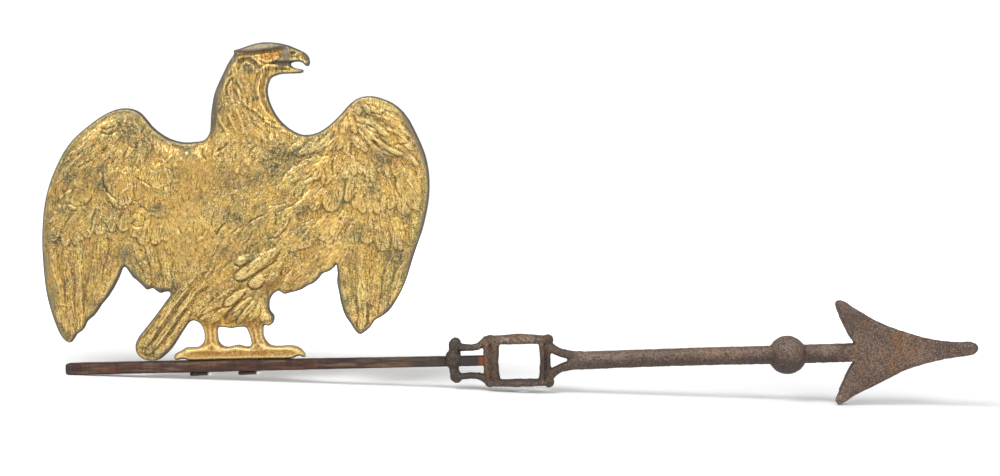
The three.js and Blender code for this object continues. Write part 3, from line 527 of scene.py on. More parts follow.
def smoothLoop(points, perSpan):
    # centripetal spline through the points, closed
    p = np.array(points, float)
    out = []
    for i in range(len(p)):
        p0, p1, p2, p3 = p[i - 1], p[i], p[(i + 1) % len(p)], p[(i + 2) % len(p)]
        d1, d2, d3 = (math.sqrt(np.hypot(*(b - a))) + 1e-9 for a, b in ((p0, p1), (p1, p2), (p2, p3)))
        m1 = ((p1 - p0) / d1 - (p2 - p0) / (d1 + d2) + (p2 - p1) / d2) * d2
        m2 = ((p2 - p1) / d2 - (p3 - p1) / (d2 + d3) + (p3 - p2) / d3) * d2
        for t in np.arange(perSpan) / perSpan:
            out.append((2 * t**3 - 3 * t**2 + 1) * p1 + (t**3 - 2 * t**2 + t) * m1
                       + (3 * t**2 - 2 * t**3) * p2 + (t**3 - t**2) * m2)
    return np.array(out)


def smoothstep(low, high, value):
    t = np.clip((value - low) / (high - low), 0, 1)
    return t * t * (3 - 2 * t)


def windowOf(field, low, high):
    i0, i1 = np.searchsorted(field["xs"], [low[0], high[0]])
    j0, j1 = np.searchsorted(field["zs"], [low[1], high[1]])
    return slice(j0, j1), slice(i0, i1)


def lineDistance(x, z, line):
    best = np.full(x.shape, 1e9)
    for a, b in zip(line, line[1:]):
        way = np.subtract(b, a)
        share = np.clip(((x - a[0]) * way[0] + (z - a[1]) * way[1]) / (way @ way + 1e-12), 0, 1)
        best = np.minimum(best, np.hypot(x - a[0] - share * way[0], z - a[1] - share * way[1]))
    return best


def depthInside(field, loops, reach=40.0):
    # distance from the outline, more than nothing inside it
    x, z = field["x"], field["z"]
    nearest = np.full(x.shape, reach)
    inside = np.zeros(x.shape, bool)
    for loop in loops:
        for a, b in zip(loop, np.roll(loop, -1, axis=0)):
            win = windowOf(field, np.minimum(a, b) - reach, np.maximum(a, b) + reach)
            nearest[win] = np.minimum(nearest[win], lineDistance(x[win], z[win], [a, b]))
            crossed = (a[1] > field["zs"]) != (b[1] > field["zs"])
            edge = a[0] + (field["zs"][crossed] - a[1]) * (b[0] - a[0]) / (b[1] - a[1] + 1e-12)
            inside[crossed] ^= x[crossed] < edge[:, None]
    return np.where(inside, nearest, -nearest)


def blur(values, cells, times=3):
    for axis in (0, 1) * times:
        pad = [(0, 0), (0, 0)]
        pad[axis] = (cells + 1, cells)
        total = np.cumsum(np.pad(values, pad, mode="edge"), axis=axis)
        at = np.arange(values.shape[axis])
        before = np.take(total, at, axis=axis)
        values = (np.take(total, at + 2 * cells + 1, axis=axis) - before) / (2 * cells + 1)
    return values


grain = np.random.default_rng(3).random((256, 256))


def grainNoise(u, v):
    # smooth random values, about one hill in each unit
    i, j = np.floor(u).astype(int), np.floor(v).astype(int)
    fu, fv = u - i, v - j
    fu, fv = fu * fu * (3 - 2 * fu), fv * fv * (3 - 2 * fv)
    i0, j0, i1, j1 = i % 256, j % 256, (i + 1) % 256, (j + 1) % 256
    low = grain[i0, j0] * (1 - fu) + grain[i1, j0] * fu
    high = grain[i0, j1] * (1 - fu) + grain[i1, j1] * fu
    return 2 * (low * (1 - fv) + high * fv) - 1


def castThickness(field):
    x, z, depth, e = field["x"], field["z"], field["depth"], eagle
    full = np.full(x.shape, e["half"])
    for cx, cz, rx, rz, rise in e["swells"]:
        full += rise * np.exp(-((x - cx) / rx) ** 2 - ((z - cz) / rz) ** 2)
    slim = np.max([1 - smoothstep(8, 14, lineDistance(x, z, line)) for line in e["legLines"]], axis=0)
    slim *= 1 - smoothstep(16, 27, z)
    full = full * (1 - slim) + e["legHalf"] * slim
    rim = e["rimHalf"] * (1 - slim) + 0.8 * slim
    inwards = np.clip(depth / (full * (1.7 - 0.75 * slim)), 0, 1)
    return rim + (full - rim) * np.sqrt(1 - (1 - inwards) ** 2), slim


def paintFeather(field, tip, heading, length, width, lift, kind, draw):
    # a feather lies over what is there wherever it stands higher; its heading is turned from straight down
    k = featherKinds[kind]
    turn, slant = math.radians(heading), math.radians(k["slant"])
    runX, runZ = -math.sin(turn), -math.cos(turn)
    root = np.array([tip[0] - runX * length, tip[1] - runZ * length])
    reach = width * 0.9 + 4
    win = windowOf(field, np.minimum(tip, root) - reach, np.maximum(tip, root) + reach)
    dx, dz = field["warpX"][win] - tip[0], field["warpZ"][win] - tip[1]
    across = dz * runX - dx * runZ
    s = 1 + (dx * runX + dz * runZ) / length
    bend, phase = k["wave"] * (draw.random() * 2 - 1), draw.random() * 6.3
    across = across + length * (bend * (1 - s) ** 2 + 0.25 * k["wave"] * np.sin(3.5 * s + phase))
    grow = k["root"] + (1 - k["root"]) * smoothstep(0, k["tip"], s)
    pastTip = np.clip((s - k["tip"]) / (1 - k["tip"]), 0, 1)
    half = width / 2 * grow * np.sqrt(np.clip(1 - pastTip ** k["blunt"], 0, 1)) + 1e-3
    t = across / half
    side = np.sign(across)
    u = np.abs(across) * math.cos(slant) - s * length * math.sin(slant)
    v = np.abs(across) * math.sin(slant) + s * length * math.cos(slant)
    shift = phase * 11 + side * 17.3
    barbs = 0.8 * grainNoise(u / (k["pitch"] * 0.5) + shift, v / k["run"] + shift)
    ripple = 2.5 * grainNoise(v / k["run"] + shift, u / 5)
    barbs += 0.35 * np.sin(2 * math.pi * u / k["pitch"] + phase + ripple)
    edgeIn = np.clip(1 - np.abs(t), 0, 1) * half
    nearEdge = np.clip(np.minimum(edgeIn, (1 - s) * length * 1.2) / (2.2 * k["soft"]), 0, 1)
    rounded = np.sqrt(1 - (1 - nearEdge) ** 2)
    h = field["sink"] + (lift - field["sink"]) * np.clip(s, 0, 1) ** k["hold"] + k["crown"] * (0.6 - t * t)
    ribbed = smoothstep(0.05, 0.3, s), 1 - smoothstep(0.75, 0.95, s)
    h += k["quill"] * np.exp(-(across / 0.9) ** 2) * ribbed[0] * ribbed[1]
    h += k["barb"] * barbs * smoothstep(0, 1.5, edgeIn) * smoothstep(0.02, 0.2, s)
    h = h * (0.35 + 0.65 * rounded) - 0.5 * (1 - rounded)
    amount = field["amount"][win]
    h = h * amount + (1 - amount) * field["sink"]
    wins = (np.abs(t) < 1) & (s > 0) & (s < 1) & (h > field["rise"][win]) & (amount > 0.02)
    lean = turn - side * slant
    painted = {"rise": h, "acrossX": np.cos(lean), "acrossZ": -np.sin(lean)}
    for name, value in painted.items():
        field[name][win][wins] = value[wins]


def paintRow(field, row, draw):
    stations = np.array(row["stations"], float)
    run = np.concatenate([[0], np.cumsum(np.hypot(*np.diff(stations[:, :2], axis=0).T))])
    for at in np.linspace(0, run[-1], row["count"]):
        x, z, heading, length, width = (np.interp(at, run, column) for column in stations.T)
        tip = (x + (draw.random() - 0.5) * 1.5, z + (draw.random() - 0.5) * row["uneven"])
        paintFeather(field, tip, heading + (draw.random() - 0.5) * 5, length,
                     width * (0.96 + 0.12 * draw.random()), row["lift"] * (0.8 + 0.4 * draw.random()),
                     row["kind"], draw)


def paintBreast(field, draw):
    guides = np.array(breast["guides"], float)
    step, (low, high), (left, right) = breast["step"], breast["rows"], breast["edges"]
    (leftFrom, leftLean), (rightFrom, rightLean) = breast["narrowing"]
    for k, z in enumerate(np.arange(low, high, step * 0.9)):
        for x in np.arange(left + (k % 2) * step * 0.55, right + 3, step * 1.05):
            if x < left + max(0, leftFrom - z) * leftLean or x > right - max(0, rightFrom - z) * rightLean:
                continue
            near = 1 / (np.hypot(guides[:, 0] - x, guides[:, 1] - z) ** 3 + 50)
            heading, width, length = (guides[:, 2:] * near[:, None]).sum(axis=0) / near.sum()
            tip = (x + (draw.random() - 0.5) * 5, z + (draw.random() - 0.5) * 5)
            size = 0.8 + 0.45 * draw.random()
            paintFeather(field, tip, heading + (draw.random() - 0.5) * 26, length * size, width * size,
                         0.7 + 0.7 * draw.random(), "down", draw)


def paintNeck(field, draw):
    for k, (z, left, right, h0, h1, h2, length, width) in enumerate(neckLocks):
        count = round((right - left) / (width * 0.95))
        for share in (np.arange(count) + 0.5 * (k % 2)) / count:
            tip = (left + (right - left) * share, z - 9 * share * share + (draw.random() - 0.5) * 5)
            heading = np.interp(share, [0, 0.5, 1], [h0, h1, h2]) + (draw.random() - 0.5) * 14
            size = 0.85 + 0.35 * draw.random()
            paintFeather(field, tip, heading, length * size, width * size,
                         0.9 + 0.7 * draw.random(), "lock", draw)


def stroke(field, line, width, rise):
    # a ridge along a line, or a groove where its rise is less than nothing
    low, high = np.min(line, axis=0) - 3 * width - 3, np.max(line, axis=0) + 3 * width + 3
    win = windowOf(field, low, high)
    d = lineDistance(field["seenX"][win], field["seenZ"][win], line)
    field["detail"][win] += rise * np.exp(-(d / width) ** 2)


plumeStrokes = [  # width, rise, then the line: the larger feathers' edges and ridges, where they show
    # left wing
    (1.2, -1.6, [(-412, 174), (-412, 163), (-409, 156), (-404, 151), (-400, 148)]),
    (1.0, -1.2, [(-398, 143), (-394, 140), (-389, 141)]),
    (1.1, -1.2, [(-378, 189), (-379, 183), (-377, 177)]),
    (1.0, -0.8, [(-378, 168), (-369, 163), (-361, 157), (-353, 155)]),
    (0.9, -0.8, [(-349, 178), (-342, 175), (-341, 167), (-345, 160), (-354, 158)]),
    (1.0, -1.2, [(-411, 218), (-407, 217), (-402, 219), (-399, 220)]),
    (1.0, -1.2, [(-412, 214), (-405, 212), (-398, 215), (-391, 215)]),
    (1.1, -1.2, [(-436, 180), (-429, 184), (-423, 187)]),
    (1.0, -1.2, [(-404, 182), (-401, 185), (-399, 189)]), (1.0, -1.3, [(-372, 213), (-369, 219)]),
    (1.0, -1.1, [(-367, 209), (-363, 214)]),
    (1.0, -1.0, [(-446, 144), (-440, 141), (-430, 142), (-424, 149)]),
    (1.0, -1.1, [(-426, 117), (-424, 127), (-420, 138)]),
    (1.0, -0.9, [(-375, 140), (-368, 135), (-360, 134)]),
    (1.2, 0.9, [(-455, 150), (-451, 154), (-446, 156)]),
    (1.3, 0.8, [(-360, 178), (-352, 182), (-345, 187)]),
    (1.3, 0.8, [(-405, 174), (-397, 176), (-389, 173)]),
    (1.2, 0.8, [(-393, 154), (-389, 157), (-386, 162)]),
    (1.1, 0.8, [(-450, 176), (-442, 184), (-434, 191)]),
    (1.1, -0.8, [(-385, 200), (-378, 198), (-377, 203)]),
    (1.1, 0.8, [(-355, 187), (-349, 184), (-342, 189)]),
    (1.0, -1.0, [(-411, 123), (-407, 116), (-410, 109)]),
    (1.0, -0.9, [(-385, 123), (-380, 119), (-373, 120)]),
    # breast
    (1.2, 0.9, [(-294, 223), (-288, 214), (-286, 209)]),
    (1.2, 0.8, [(-260, 218), (-264, 212), (-271, 210)]),
    (1.0, -1.0, [(-296, 193), (-291, 196), (-287, 200)]),
    (1.2, 0.8, [(-299, 190), (-292, 193), (-286, 199)]),
    (1.1, -0.9, [(-266, 186), (-264, 193), (-258, 198)]),
    (1.1, -0.9, [(-253, 202), (-252, 196), (-247, 193), (-241, 190)]),
    (1.1, 0.8, [(-238, 202), (-232, 200), (-227, 201)]),
    (1.1, 0.9, [(-224, 196), (-221, 190), (-215, 188)]),
    (1.1, -1.3, [(-238, 131), (-225, 137), (-215, 144), (-212, 153)]),
    (1.2, 0.8, [(-239, 136), (-226, 140), (-219, 147)]),
    (1.0, -1.5, [(-268, 121), (-262, 125), (-254, 128)]),
    (1.2, 0.8, [(-263, 121), (-256, 125), (-249, 128)]),
    (1.0, -1.3, [(-300, 110), (-297, 116), (-292, 120)]),
    (1.0, -1.0, [(-285, 111), (-280, 115), (-273, 119)]),
    (1.1, -1.3, [(-242, 132), (-240, 124), (-242, 118)]),
    (1.2, 1.1, [(-228, 127), (-229, 120), (-235, 113)]),
    (1.1, -1.2, [(-248, 104), (-239, 106), (-231, 114), (-226, 124)]),
    (1.2, 1.0, [(-217, 101), (-213, 106), (-207, 115)]),
    (1.1, -0.9, [(-305, 120), (-304, 127), (-301, 133)]), (1.0, -0.8, [(-338, 118), (-335, 112)]),
    (1.0, -0.8, [(-334, 149), (-332, 143)]), (1.2, 0.7, [(-287, 145), (-284, 151), (-278, 153)]),
    (1.0, -0.8, [(-293, 127), (-287, 130), (-286, 134)]),
    (1.1, 0.8, [(-319, 104), (-313, 108), (-310, 113)]),
    (1.0, -0.9, [(-262, 145), (-256, 149), (-254, 153)]),
    (1.1, -0.9, [(-274, 100), (-268, 104), (-265, 111)]),
    # right wing
    (1.7, 1.5, [(-140, 202), (-132, 197), (-126, 193), (-122, 188)]),
    (1.0, -1.4, [(-142, 200), (-135, 193), (-126, 188), (-117, 184)]),
    (1.5, 1.3, [(-155, 211), (-149, 204), (-144, 198)]),
    (1.3, 1.0, [(-123, 192), (-115, 188), (-112, 185)]),
    (1.1, -1.4, [(-198, 190), (-193, 186), (-187, 187)]),
    (1.3, 0.9, [(-195, 192), (-186, 198), (-179, 205)]),
    (1.2, 0.9, [(-171, 191), (-166, 187), (-163, 184)]),
    (1.1, 0.9, [(-156, 236), (-149, 235), (-145, 238)]),
    (1.1, -1.1, [(-160, 225), (-157, 219), (-150, 217)]),
    (1.2, 0.8, [(-134, 224), (-126, 222), (-120, 217)]),
    (1.1, -1.1, [(-121, 196), (-112, 196), (-105, 198), (-108, 203)]),
    (1.3, 0.9, [(-126, 211), (-117, 208), (-110, 202)]),
    (1.1, -1.0, [(-146, 216), (-139, 212), (-132, 204)]),
    (1.1, -1.0, [(-183, 181), (-183, 173), (-182, 167)]),
    (1.2, 0.9, [(-155, 173), (-149, 168), (-147, 166)]),
    (1.1, -1.0, [(-191, 173), (-189, 165), (-192, 155)]),
    (1.1, -1.1, [(-212, 162), (-204, 166), (-199, 173)]),
    (1.1, -1.0, [(-143, 228), (-134, 226), (-127, 230)]),
    (1.0, -0.9, [(-106, 180), (-101, 174), (-99, 166)]), (1.2, 0.8, [(-107, 160), (-103, 153), (-99, 146)]),
    (1.1, -1.1, [(-121, 163), (-120, 152), (-115, 143)]),
    # thighs and tail
    (1.1, -1.5, [(-284, 66), (-279, 62), (-271, 64), (-256, 73), (-242, 82)]),
    (1.0, -1.1, [(-284, 70), (-279, 74), (-268, 81), (-258, 88)]),
    (1.3, 1.1, [(-280, 83), (-274, 85), (-270, 85)]),
    (1.0, -1.6, [(-282, 79), (-278, 77), (-271, 80), (-264, 85)]),
    (1.0, -1.3, [(-270, 59), (-267, 54), (-258, 55), (-253, 62)]),
    (1.0, -1.2, [(-296, 39), (-294, 45), (-285, 52), (-275, 55)]),
    (1.0, -1.3, [(-295, 36), (-288, 38), (-280, 43), (-273, 50)]),
    (1.2, 1.1, [(-321, 32), (-308, 41), (-295, 50), (-286, 55)]),
    (1.0, -1.2, [(-324, 29), (-316, 36), (-305, 45)]), (1.2, 1.1, [(-318, 25), (-309, 28), (-300, 33)]),
    (1.0, -1.2, [(-322, 27), (-312, 31), (-301, 36)]),
    (1.2, 1.0, [(-291, 24), (-287, 31), (-277, 39), (-267, 46)]),
    (1.0, -1.2, [(-294, 25), (-290, 33), (-280, 42)]), (1.1, 0.9, [(-280, 25), (-274, 33), (-266, 40)]),
    (1.0, -1.1, [(-283, 22), (-278, 31), (-270, 39)]), (1.1, 0.8, [(-266, 24), (-261, 36), (-258, 44)]),
    (1.0, 1.0, [(-373, 3), (-360, 20), (-346, 38), (-331, 56)]),
    (1.0, 1.0, [(-364, -2), (-350, 17), (-336, 36), (-329, 46)]),
    (1.0, 0.9, [(-352, 1), (-342, 17), (-330, 32)]),
    (1.0, -1.0, [(-369, 1), (-355, 19), (-341, 38), (-330, 51)]),
    (1.0, -1.0, [(-358, -1), (-346, 17), (-333, 35)]),
    # cheek
    (1.3, 0.9, [(-275, 283), (-273, 286), (-266, 288), (-259, 286), (-254, 282)]),
    (1.3, -1.0, [(-273, 280), (-270, 284), (-264, 285), (-257, 281), (-255, 276)]),
    (1.2, 0.8, [(-272, 273), (-270, 278), (-266, 281), (-260, 278), (-258, 273)]),
    (1.1, -0.8, [(-268, 270), (-268, 275), (-265, 277)]),
]

headStrokes = [  # width, rise, then the line
    (1.0, -1.6, [(-279, 287), (-266, 289), (-255, 289.6), (-244, 291), (-236, 292), (-229, 292.6)]),  # brow
    (1.2, 0.9, [(-274, 285.6), (-264, 287.2), (-254, 287.4)]),
    (1.2, 1.4, [(-252.2, 283.9), (-245.7, 281.4), (-239.2, 282), (-232.6, 285.1)]),  # lower lid
    (1.0, -0.9, [(-254, 281.6), (-246, 279), (-239, 279.6), (-233, 282)]),
    (1.1, -0.9, [(-232, 289.5), (-230, 286)]),  # cere and nostril
    (1.3, 0.9, [(-224, 294), (-221.5, 288.5), (-223.5, 284)]),
    (1.3, -2.4, [(-240, 279.4), (-233, 279.4), (-227, 279), (-221, 279.4)]),  # gape
    (1.0, 0.9, [(-233, 281.8), (-226, 282.6), (-217, 283.6), (-209, 282.2), (-205, 279)]),
    (1.1, 1.0, [(-238, 276.6), (-228, 275.4), (-218, 273.6), (-210, 271.8)]),  # lower jaw
    (1.0, -0.8, [(-239, 274), (-228, 273), (-218, 271.8), (-212, 271)]),
    (1.2, 1.0, [(-255.7, 270.9), (-249.1, 275.1), (-241.5, 277.7), (-236, 278.6)]),
    (1.3, 1.0, [(-277.3, 277.9), (-275.5, 283.8), (-270, 286.4), (-261.9, 285.4), (-255.5, 282),
                (-250, 279)]),  # cheek
    (1.6, -0.8, [(-273, 280), (-268, 283), (-262, 282), (-257, 279)]),
    (1.5, -0.8, [(-243.5, 273), (-248, 264), (-249.8, 252), (-248.6, 242), (-243, 231), (-235, 221),
                 (-226, 213)]),  # throat
    (1.4, 1.0, [(-248, 274), (-252.8, 263), (-254.6, 252), (-253.6, 243), (-249, 233), (-242, 225)]),
    (1.1, -0.8, [(-252, 275), (-257, 264), (-258.5, 252), (-256, 243)]),
    (1.3, 0.8, [(-243.5, 264), (-245.8, 252), (-244.6, 243), (-239, 231)]),
    (0.9, -1.2, [(-256.6, 228.6), (-250.3, 222), (-242.8, 216.4), (-234.2, 213.5)]),
    (1.2, 1.1, [(-256.6, 231.6), (-249.8, 225.4), (-242, 219.8), (-234, 216.8)]),
    (0.9, -1.2, [(-250.2, 223.6), (-242.7, 222.4), (-235.2, 217.3)]),
    (1.3, 1.1, [(-274, 252.9), (-272, 244.7), (-267.3, 238.6), (-261.4, 234.7), (-256, 232.4)]),  # locks
    (1.1, -0.7, [(-276.4, 251), (-274, 243.6), (-269, 236.6), (-263, 232.4), (-257, 229.8)]),
    (1.3, 1.2, [(-288.2, 249.9), (-288, 257.5), (-284.6, 264.5), (-278.6, 268.7)]),
    (1.1, -1.0, [(-285.8, 249.9), (-285.8, 256.8), (-282.6, 262.5)]),
    (1.2, 1.2, [(-283.3, 249.8), (-284.2, 256.3), (-281.4, 261.1)]),
    (1.2, 1.4, [(-294.8, 229.4), (-292.6, 222.3), (-288.9, 215.7), (-285.2, 213)]),
    (1.2, 1.4, [(-284.8, 229.2), (-280.7, 220.5), (-278.1, 213.9)]),
    (1.2, 1.4, [(-276, 233.4), (-273, 225.7), (-271, 218.1), (-270, 211.5)]),
    (1.2, 1.2, [(-268.5, 233.2), (-264.3, 225.5), (-262.3, 217.9)]),
    (1.2, -1.4, [(-311.6, 195.1), (-312.2, 189.7), (-309.1, 186.3)]),  # collar of the neck
    (1.2, -1.2, [(-295.9, 194.7), (-289.8, 196.8), (-286, 201)]),
    (1.2, -1.0, [(-340.7, 200.1), (-333.2, 197.6), (-325.7, 196.5)]),
]


footStrokes = [  # width, rise, then the line
    (1.6, 0.5, [(-309.8, 19), (-309.4, 2)]), (1.6, 0.5, [(-265.5, 19), (-262.8, 2)]),  # shins
    (2.4, 0.9, [(-314.4, -4), (-308.4, -1), (-302.4, -4)]),  # where the toes begin
    (2.4, 0.9, [(-267.8, -4), (-261.8, -1), (-255.8, -4)]),
    (2.0, 0.8, [(-334, -7.5), (-322, -5.5), (-300, -7), (-286, -5.2), (-272, -7), (-250, -6), (-232, -6),
                (-222, -8)]),
]

head = {
    "cap": [  # x and z along its lower edge
        (-279, 289), (-276, 290.3), (-265, 290.2), (-254.6, 290.8), (-240.5, 292.3), (-229.6, 293.7),
        (-222, 295.4),
    ],
    "nape": -284,  # x where the cap begins behind
    "capRise": 1.5,
    "rings": [  # x, z, width for its height, radius, thickness, rise
        (-245.2, 287, 1.1, 3.3, 0.8, 0.7), (-245.2, 287, 1.1, 5, 1.1, -0.9),  # rims of the eye
        (-245.2, 287, 1.1, 0, 1.5, 0.9), (-245.2, 287, 1.1, 1.9, 0.6, -0.7),  # eyeball
        (-219, 289, 1.5, 3.9, 1.2, 0.8), (-219, 289, 1.5, 0, 1.8, -1.6),  # nostril
    ],
}


def carveHead(field):
    x, z = field["seenX"], field["seenZ"]
    above = z - np.interp(x, *zip(*head["cap"]))
    cap = smoothstep(-0.5, 0.9, above) * ((x > head["nape"]) & (z > 280))
    cap = cap * (1 - smoothstep(-225, -216, x + 0.5 * (z - 290)))
    # full at its lower edge, half above: the darker lower edge is painted shade under the brow
    field["cap"] = cap * (1 - 0.5 * smoothstep(1.6, 3.8, above))
    field["detail"] += head["capRise"] * cap
    for cx, cz, wide, radius, thick, rise in head["rings"]:
        gap = np.hypot(x - cx, (z - cz) * wide) - radius
        field["detail"] += rise * np.exp(-(gap / thick) ** 2)


def startField():
    # heights on a grid, with how deep inside the outline each lies and how thick the casting is there
    r, e = reliefSize, eagle
    (x0, x1), (z0, z1) = r["span"]
    field = {"xs": np.arange(x0, x1, r["pitch"]), "zs": np.arange(z0, z1, r["pitch"]), "sink": r["sink"]}
    field["x"], field["z"] = x, z = np.meshgrid(field["xs"], field["zs"])
    field["loops"] = [smoothLoop(e[name], r["outlineSteps"]) for name in ("outline", "legHole")]
    field["depth"] = depthInside(field, field["loops"])
    field["thickness"], field["slim"] = castThickness(field)
    # what is nearer to the eye is seen further out and lower: the feathers are laid where they are seen
    nearer, (aimX, _, aimZ) = field["thickness"] / studio["distance"], studio["aim"]
    lower = field["thickness"] * math.tan(math.radians(studio["elevation"]))
    field["seenX"] = x + (x - aimX) * nearer
    field["seenZ"] = z + (z - aimZ) * nearer - lower
    for name, seen, right, up in (("warpX", "seenX", 31, 7), ("warpZ", "seenZ", 90, 53)):
        waves = sum(reach * grainNoise(x / size + right, z / size + up) for size, reach in r["warp"])
        field[name] = field[seen] + waves
    rolled = [1 - smoothstep(4, 9, lineDistance(x, z, line)) for line in e["rolledEdges"]]
    field["rolled"] = np.max(rolled, axis=0)
    field["worn"] = spotSum(field, [(cx, cz, rx, rz, 1) for cx, cz, rx, rz in e["wornFlat"]])
    field["amount"] = (1 - smoothstep(0.2, 0.9, field["slim"])) * (1 - field["rolled"])
    for name, value in (("rise", r["sink"]), ("detail", 0), ("acrossX", 1), ("acrossZ", 0)):
        field[name] = np.full(x.shape, float(value))
    return field


def spotSum(field, spots):
    # soft round spots added up: x, z, reach along x and z, strength
    x, z = field["seenX"], field["seenZ"]
    return sum(much * np.exp(-((x - cx) / rx) ** 2 - ((z - cz) / rz) ** 2)
               for cx, cz, rx, rz, much in spots)


def layFeathers(field):
    draw = np.random.default_rng(reliefSize["seed"])
    for row in featherRows:
        paintRow(field, row, draw)
    for kind, lift, tipX, tipZ, heading, length, width in singleFeathers:
        paintFeather(field, (tipX, tipZ), heading, length, width, lift, kind, draw)
    paintBreast(field, draw)
    paintNeck(field, draw)
    for width, rise, line in plumeStrokes + headStrokes + footStrokes:
        stroke(field, line, width, rise)
    carveHead(field)


def shapeFaces(field):
    # the feathers worn down, the skin made rough, and the two faces of the casting
    r, x, z, depth = reliefSize, field["x"], field["z"], field["depth"]
    patches = grainNoise(x / r["wearSize"] + 5, z / r["wearSize"] + 11)
    wear = 0.85 + 0.3 * patches - 0.75 * np.clip(field["worn"], 0, 1)
    relief = blur(field["rise"], 1, 1)
    calm = blur(field["rise"], 9, 2)
    relief = calm + (relief - calm) * np.clip(wear, 0.15, 1.1) * r["depth"]
    relief = relief * smoothstep(0, 5, depth) + field["detail"]
    lumps = sum(rise * grainNoise(x / size + shift, z / size + 400) for size, rise, shift in r["lumps"])
    lumps *= smoothstep(0, 3, depth) * (1 - 0.6 * field["cap"]) * (1 - 0.6 * field["slim"])
    field["front"] = field["thickness"] + relief + lumps
    field["back"] = field["thickness"] + r["backShare"] * blur(relief, 2, 1) + r["backShare"] * lumps


def spreadWear(field):
    # what the gilding reads: hollows and ridges, bare rims, and the places named in the eagle's lists;
    # some are painted light: shade in hollows, under the brow and on edges turned from the light, highlight
    # on ridges and under the body
    r, e, x, z, depth = reliefSize, eagle, field["x"], field["z"], field["depth"]
    neck = smoothstep(205, 240, z) * (x < -215)
    fine = (blur(field["front"], 2, 2) - field["front"]) * (1 - 0.4 * neck)
    around = blur(field["front"], round(r["hollowReach"] / r["pitch"]), 3)
    # above nothing in hollows and below it on ridges: the gilding darkens hollows by it, as grime and
    # painted shade, and lays painted highlight on ridges
    field["hollow"] = around - field["front"] + 2.5 * fine
    slopeZ, slopeX = np.gradient(blur(depth, 4, 1), r["pitch"])
    # edges facing right and down on the right wing, turned from the key light: the rim widens there as
    # painted shade
    wide = np.clip(-slopeX + 0.35 * slopeZ, 0, 1) ** 1.5
    wide = wide * smoothstep(-158, -140, x) * smoothstep(60, 100, z)
    uneven = 1 + 0.35 * grainNoise(x / 11 + 60, z / 11 + 60)
    below, above = r["rimMore"]
    width = (r["rimWidth"] + (below + above * smoothstep(150, 215, z)) * wide) * uneven
    rim = 1 - smoothstep(0.55, 1, depth / width)
    bare = [much * (1 - smoothstep(0.4 * width, width, lineDistance(field["seenX"], field["seenZ"], line)))
            for much, width, line in e["bareMetalAndShade"]]
    thin = 1 - smoothstep(0.35, 1, depth / (r["rimWidth"] + 1.2 * np.clip(slopeX, 0, 1)))
    field["rim"] = np.max([r["lowRim"] * rim, thin, *bare], axis=0) * (1 - 0.75 * field["slim"])
    for name in ("tarnishAndShade", "dull", "paleLeafAndLight", "warmAndBrowShade"):
        spots = [(cx, cz, size, size, much) for cx, cz, size, much in e[name]]
        field[name] = np.clip(spotSum(field, spots), 0, 1)
    # painted highlight along the ridges, laid into the pale places
    for much, width, line in e["paintedHighlightLines"]:
        highlight = much * np.exp(-(lineDistance(field["seenX"], field["seenZ"], line) / width) ** 2)
        field["paleLeafAndLight"] = np.maximum(field["paleLeafAndLight"], highlight)
    patchy = grainNoise(x / 17 + 8, z / 17 + 3)
    field["sound"] = np.clip(1.15 * field["worn"] + 0.8 * field["slim"] + 0.7 * neck + patchy, 0, 1)


eagleMesh = {
    "pitch": 0.95,  # mm between the first grid's corners
    "wallRings": 3,  # rings of corners between the two halves
    "tuck": 0.6,  # mm that the faces' edges stand inside the seam
    "keep": 0.54,  # share of the triangles left after thinning
    "backThinning": 1.0,  # how readily the back and walls, and the front, give up their corners
    "frontThinning": 0.3,
}

# values that the mesh carries for its gilding
carried = ("hollow", "rim", "tarnishAndShade", "dull", "paleLeafAndLight", "warmAndBrowShade", "cap", "slim", "rolled", "sound")


def sample(field, name, places):
    # a relief value at places on the picture plane, in mm
    values, pitch = field[name], reliefSize["pitch"]
    u = np.clip((places[:, 0] - field["xs"][0]) / pitch, 0, len(field["xs"]) - 1.001)
    v = np.clip((places[:, 2] - field["zs"][0]) / pitch, 0, len(field["zs"]) - 1.001)
    i, j = u.astype(int), v.astype(int)
    fu, fv = u - i, v - j
    low = values[j, i] * (1 - fu) + values[j, i + 1] * fu
    high = values[j + 1, i] * (1 - fu) + values[j + 1, i + 1] * fu
    return low * (1 - fv) + high * fv


def placesOf(mesh):
    places = np.empty(len(mesh.vertices) * 3)
    mesh.vertices.foreach_get("co", places)
    return places.reshape(-1, 3)


def normalsOf(mesh):
    normals = np.empty(len(mesh.vertices) * 3)
    mesh.vertices.foreach_get("normal", normals)
    return normals.reshape(-1, 3)


def carry(mesh, name, values):
    mesh.attributes.new(name, "FLOAT", "POINT").data.foreach_set("value", values)


def nearestOnLoops(points, loops):
    nearest = np.full(len(points), 1e9)
    spots = points.copy()
    for loop in loops:
        for a, b in zip(loop, np.roll(loop, -1, axis=0)):
            way = b - a
            share = np.clip(((points - a) @ way) / (way @ way + 1e-12), 0, 1)
            spot = a + share[:, None] * way
            gap = np.hypot(*(points - spot).T)
            closer = gap < nearest
            nearest[closer], spots[closer] = gap[closer], spot[closer]
    return spots


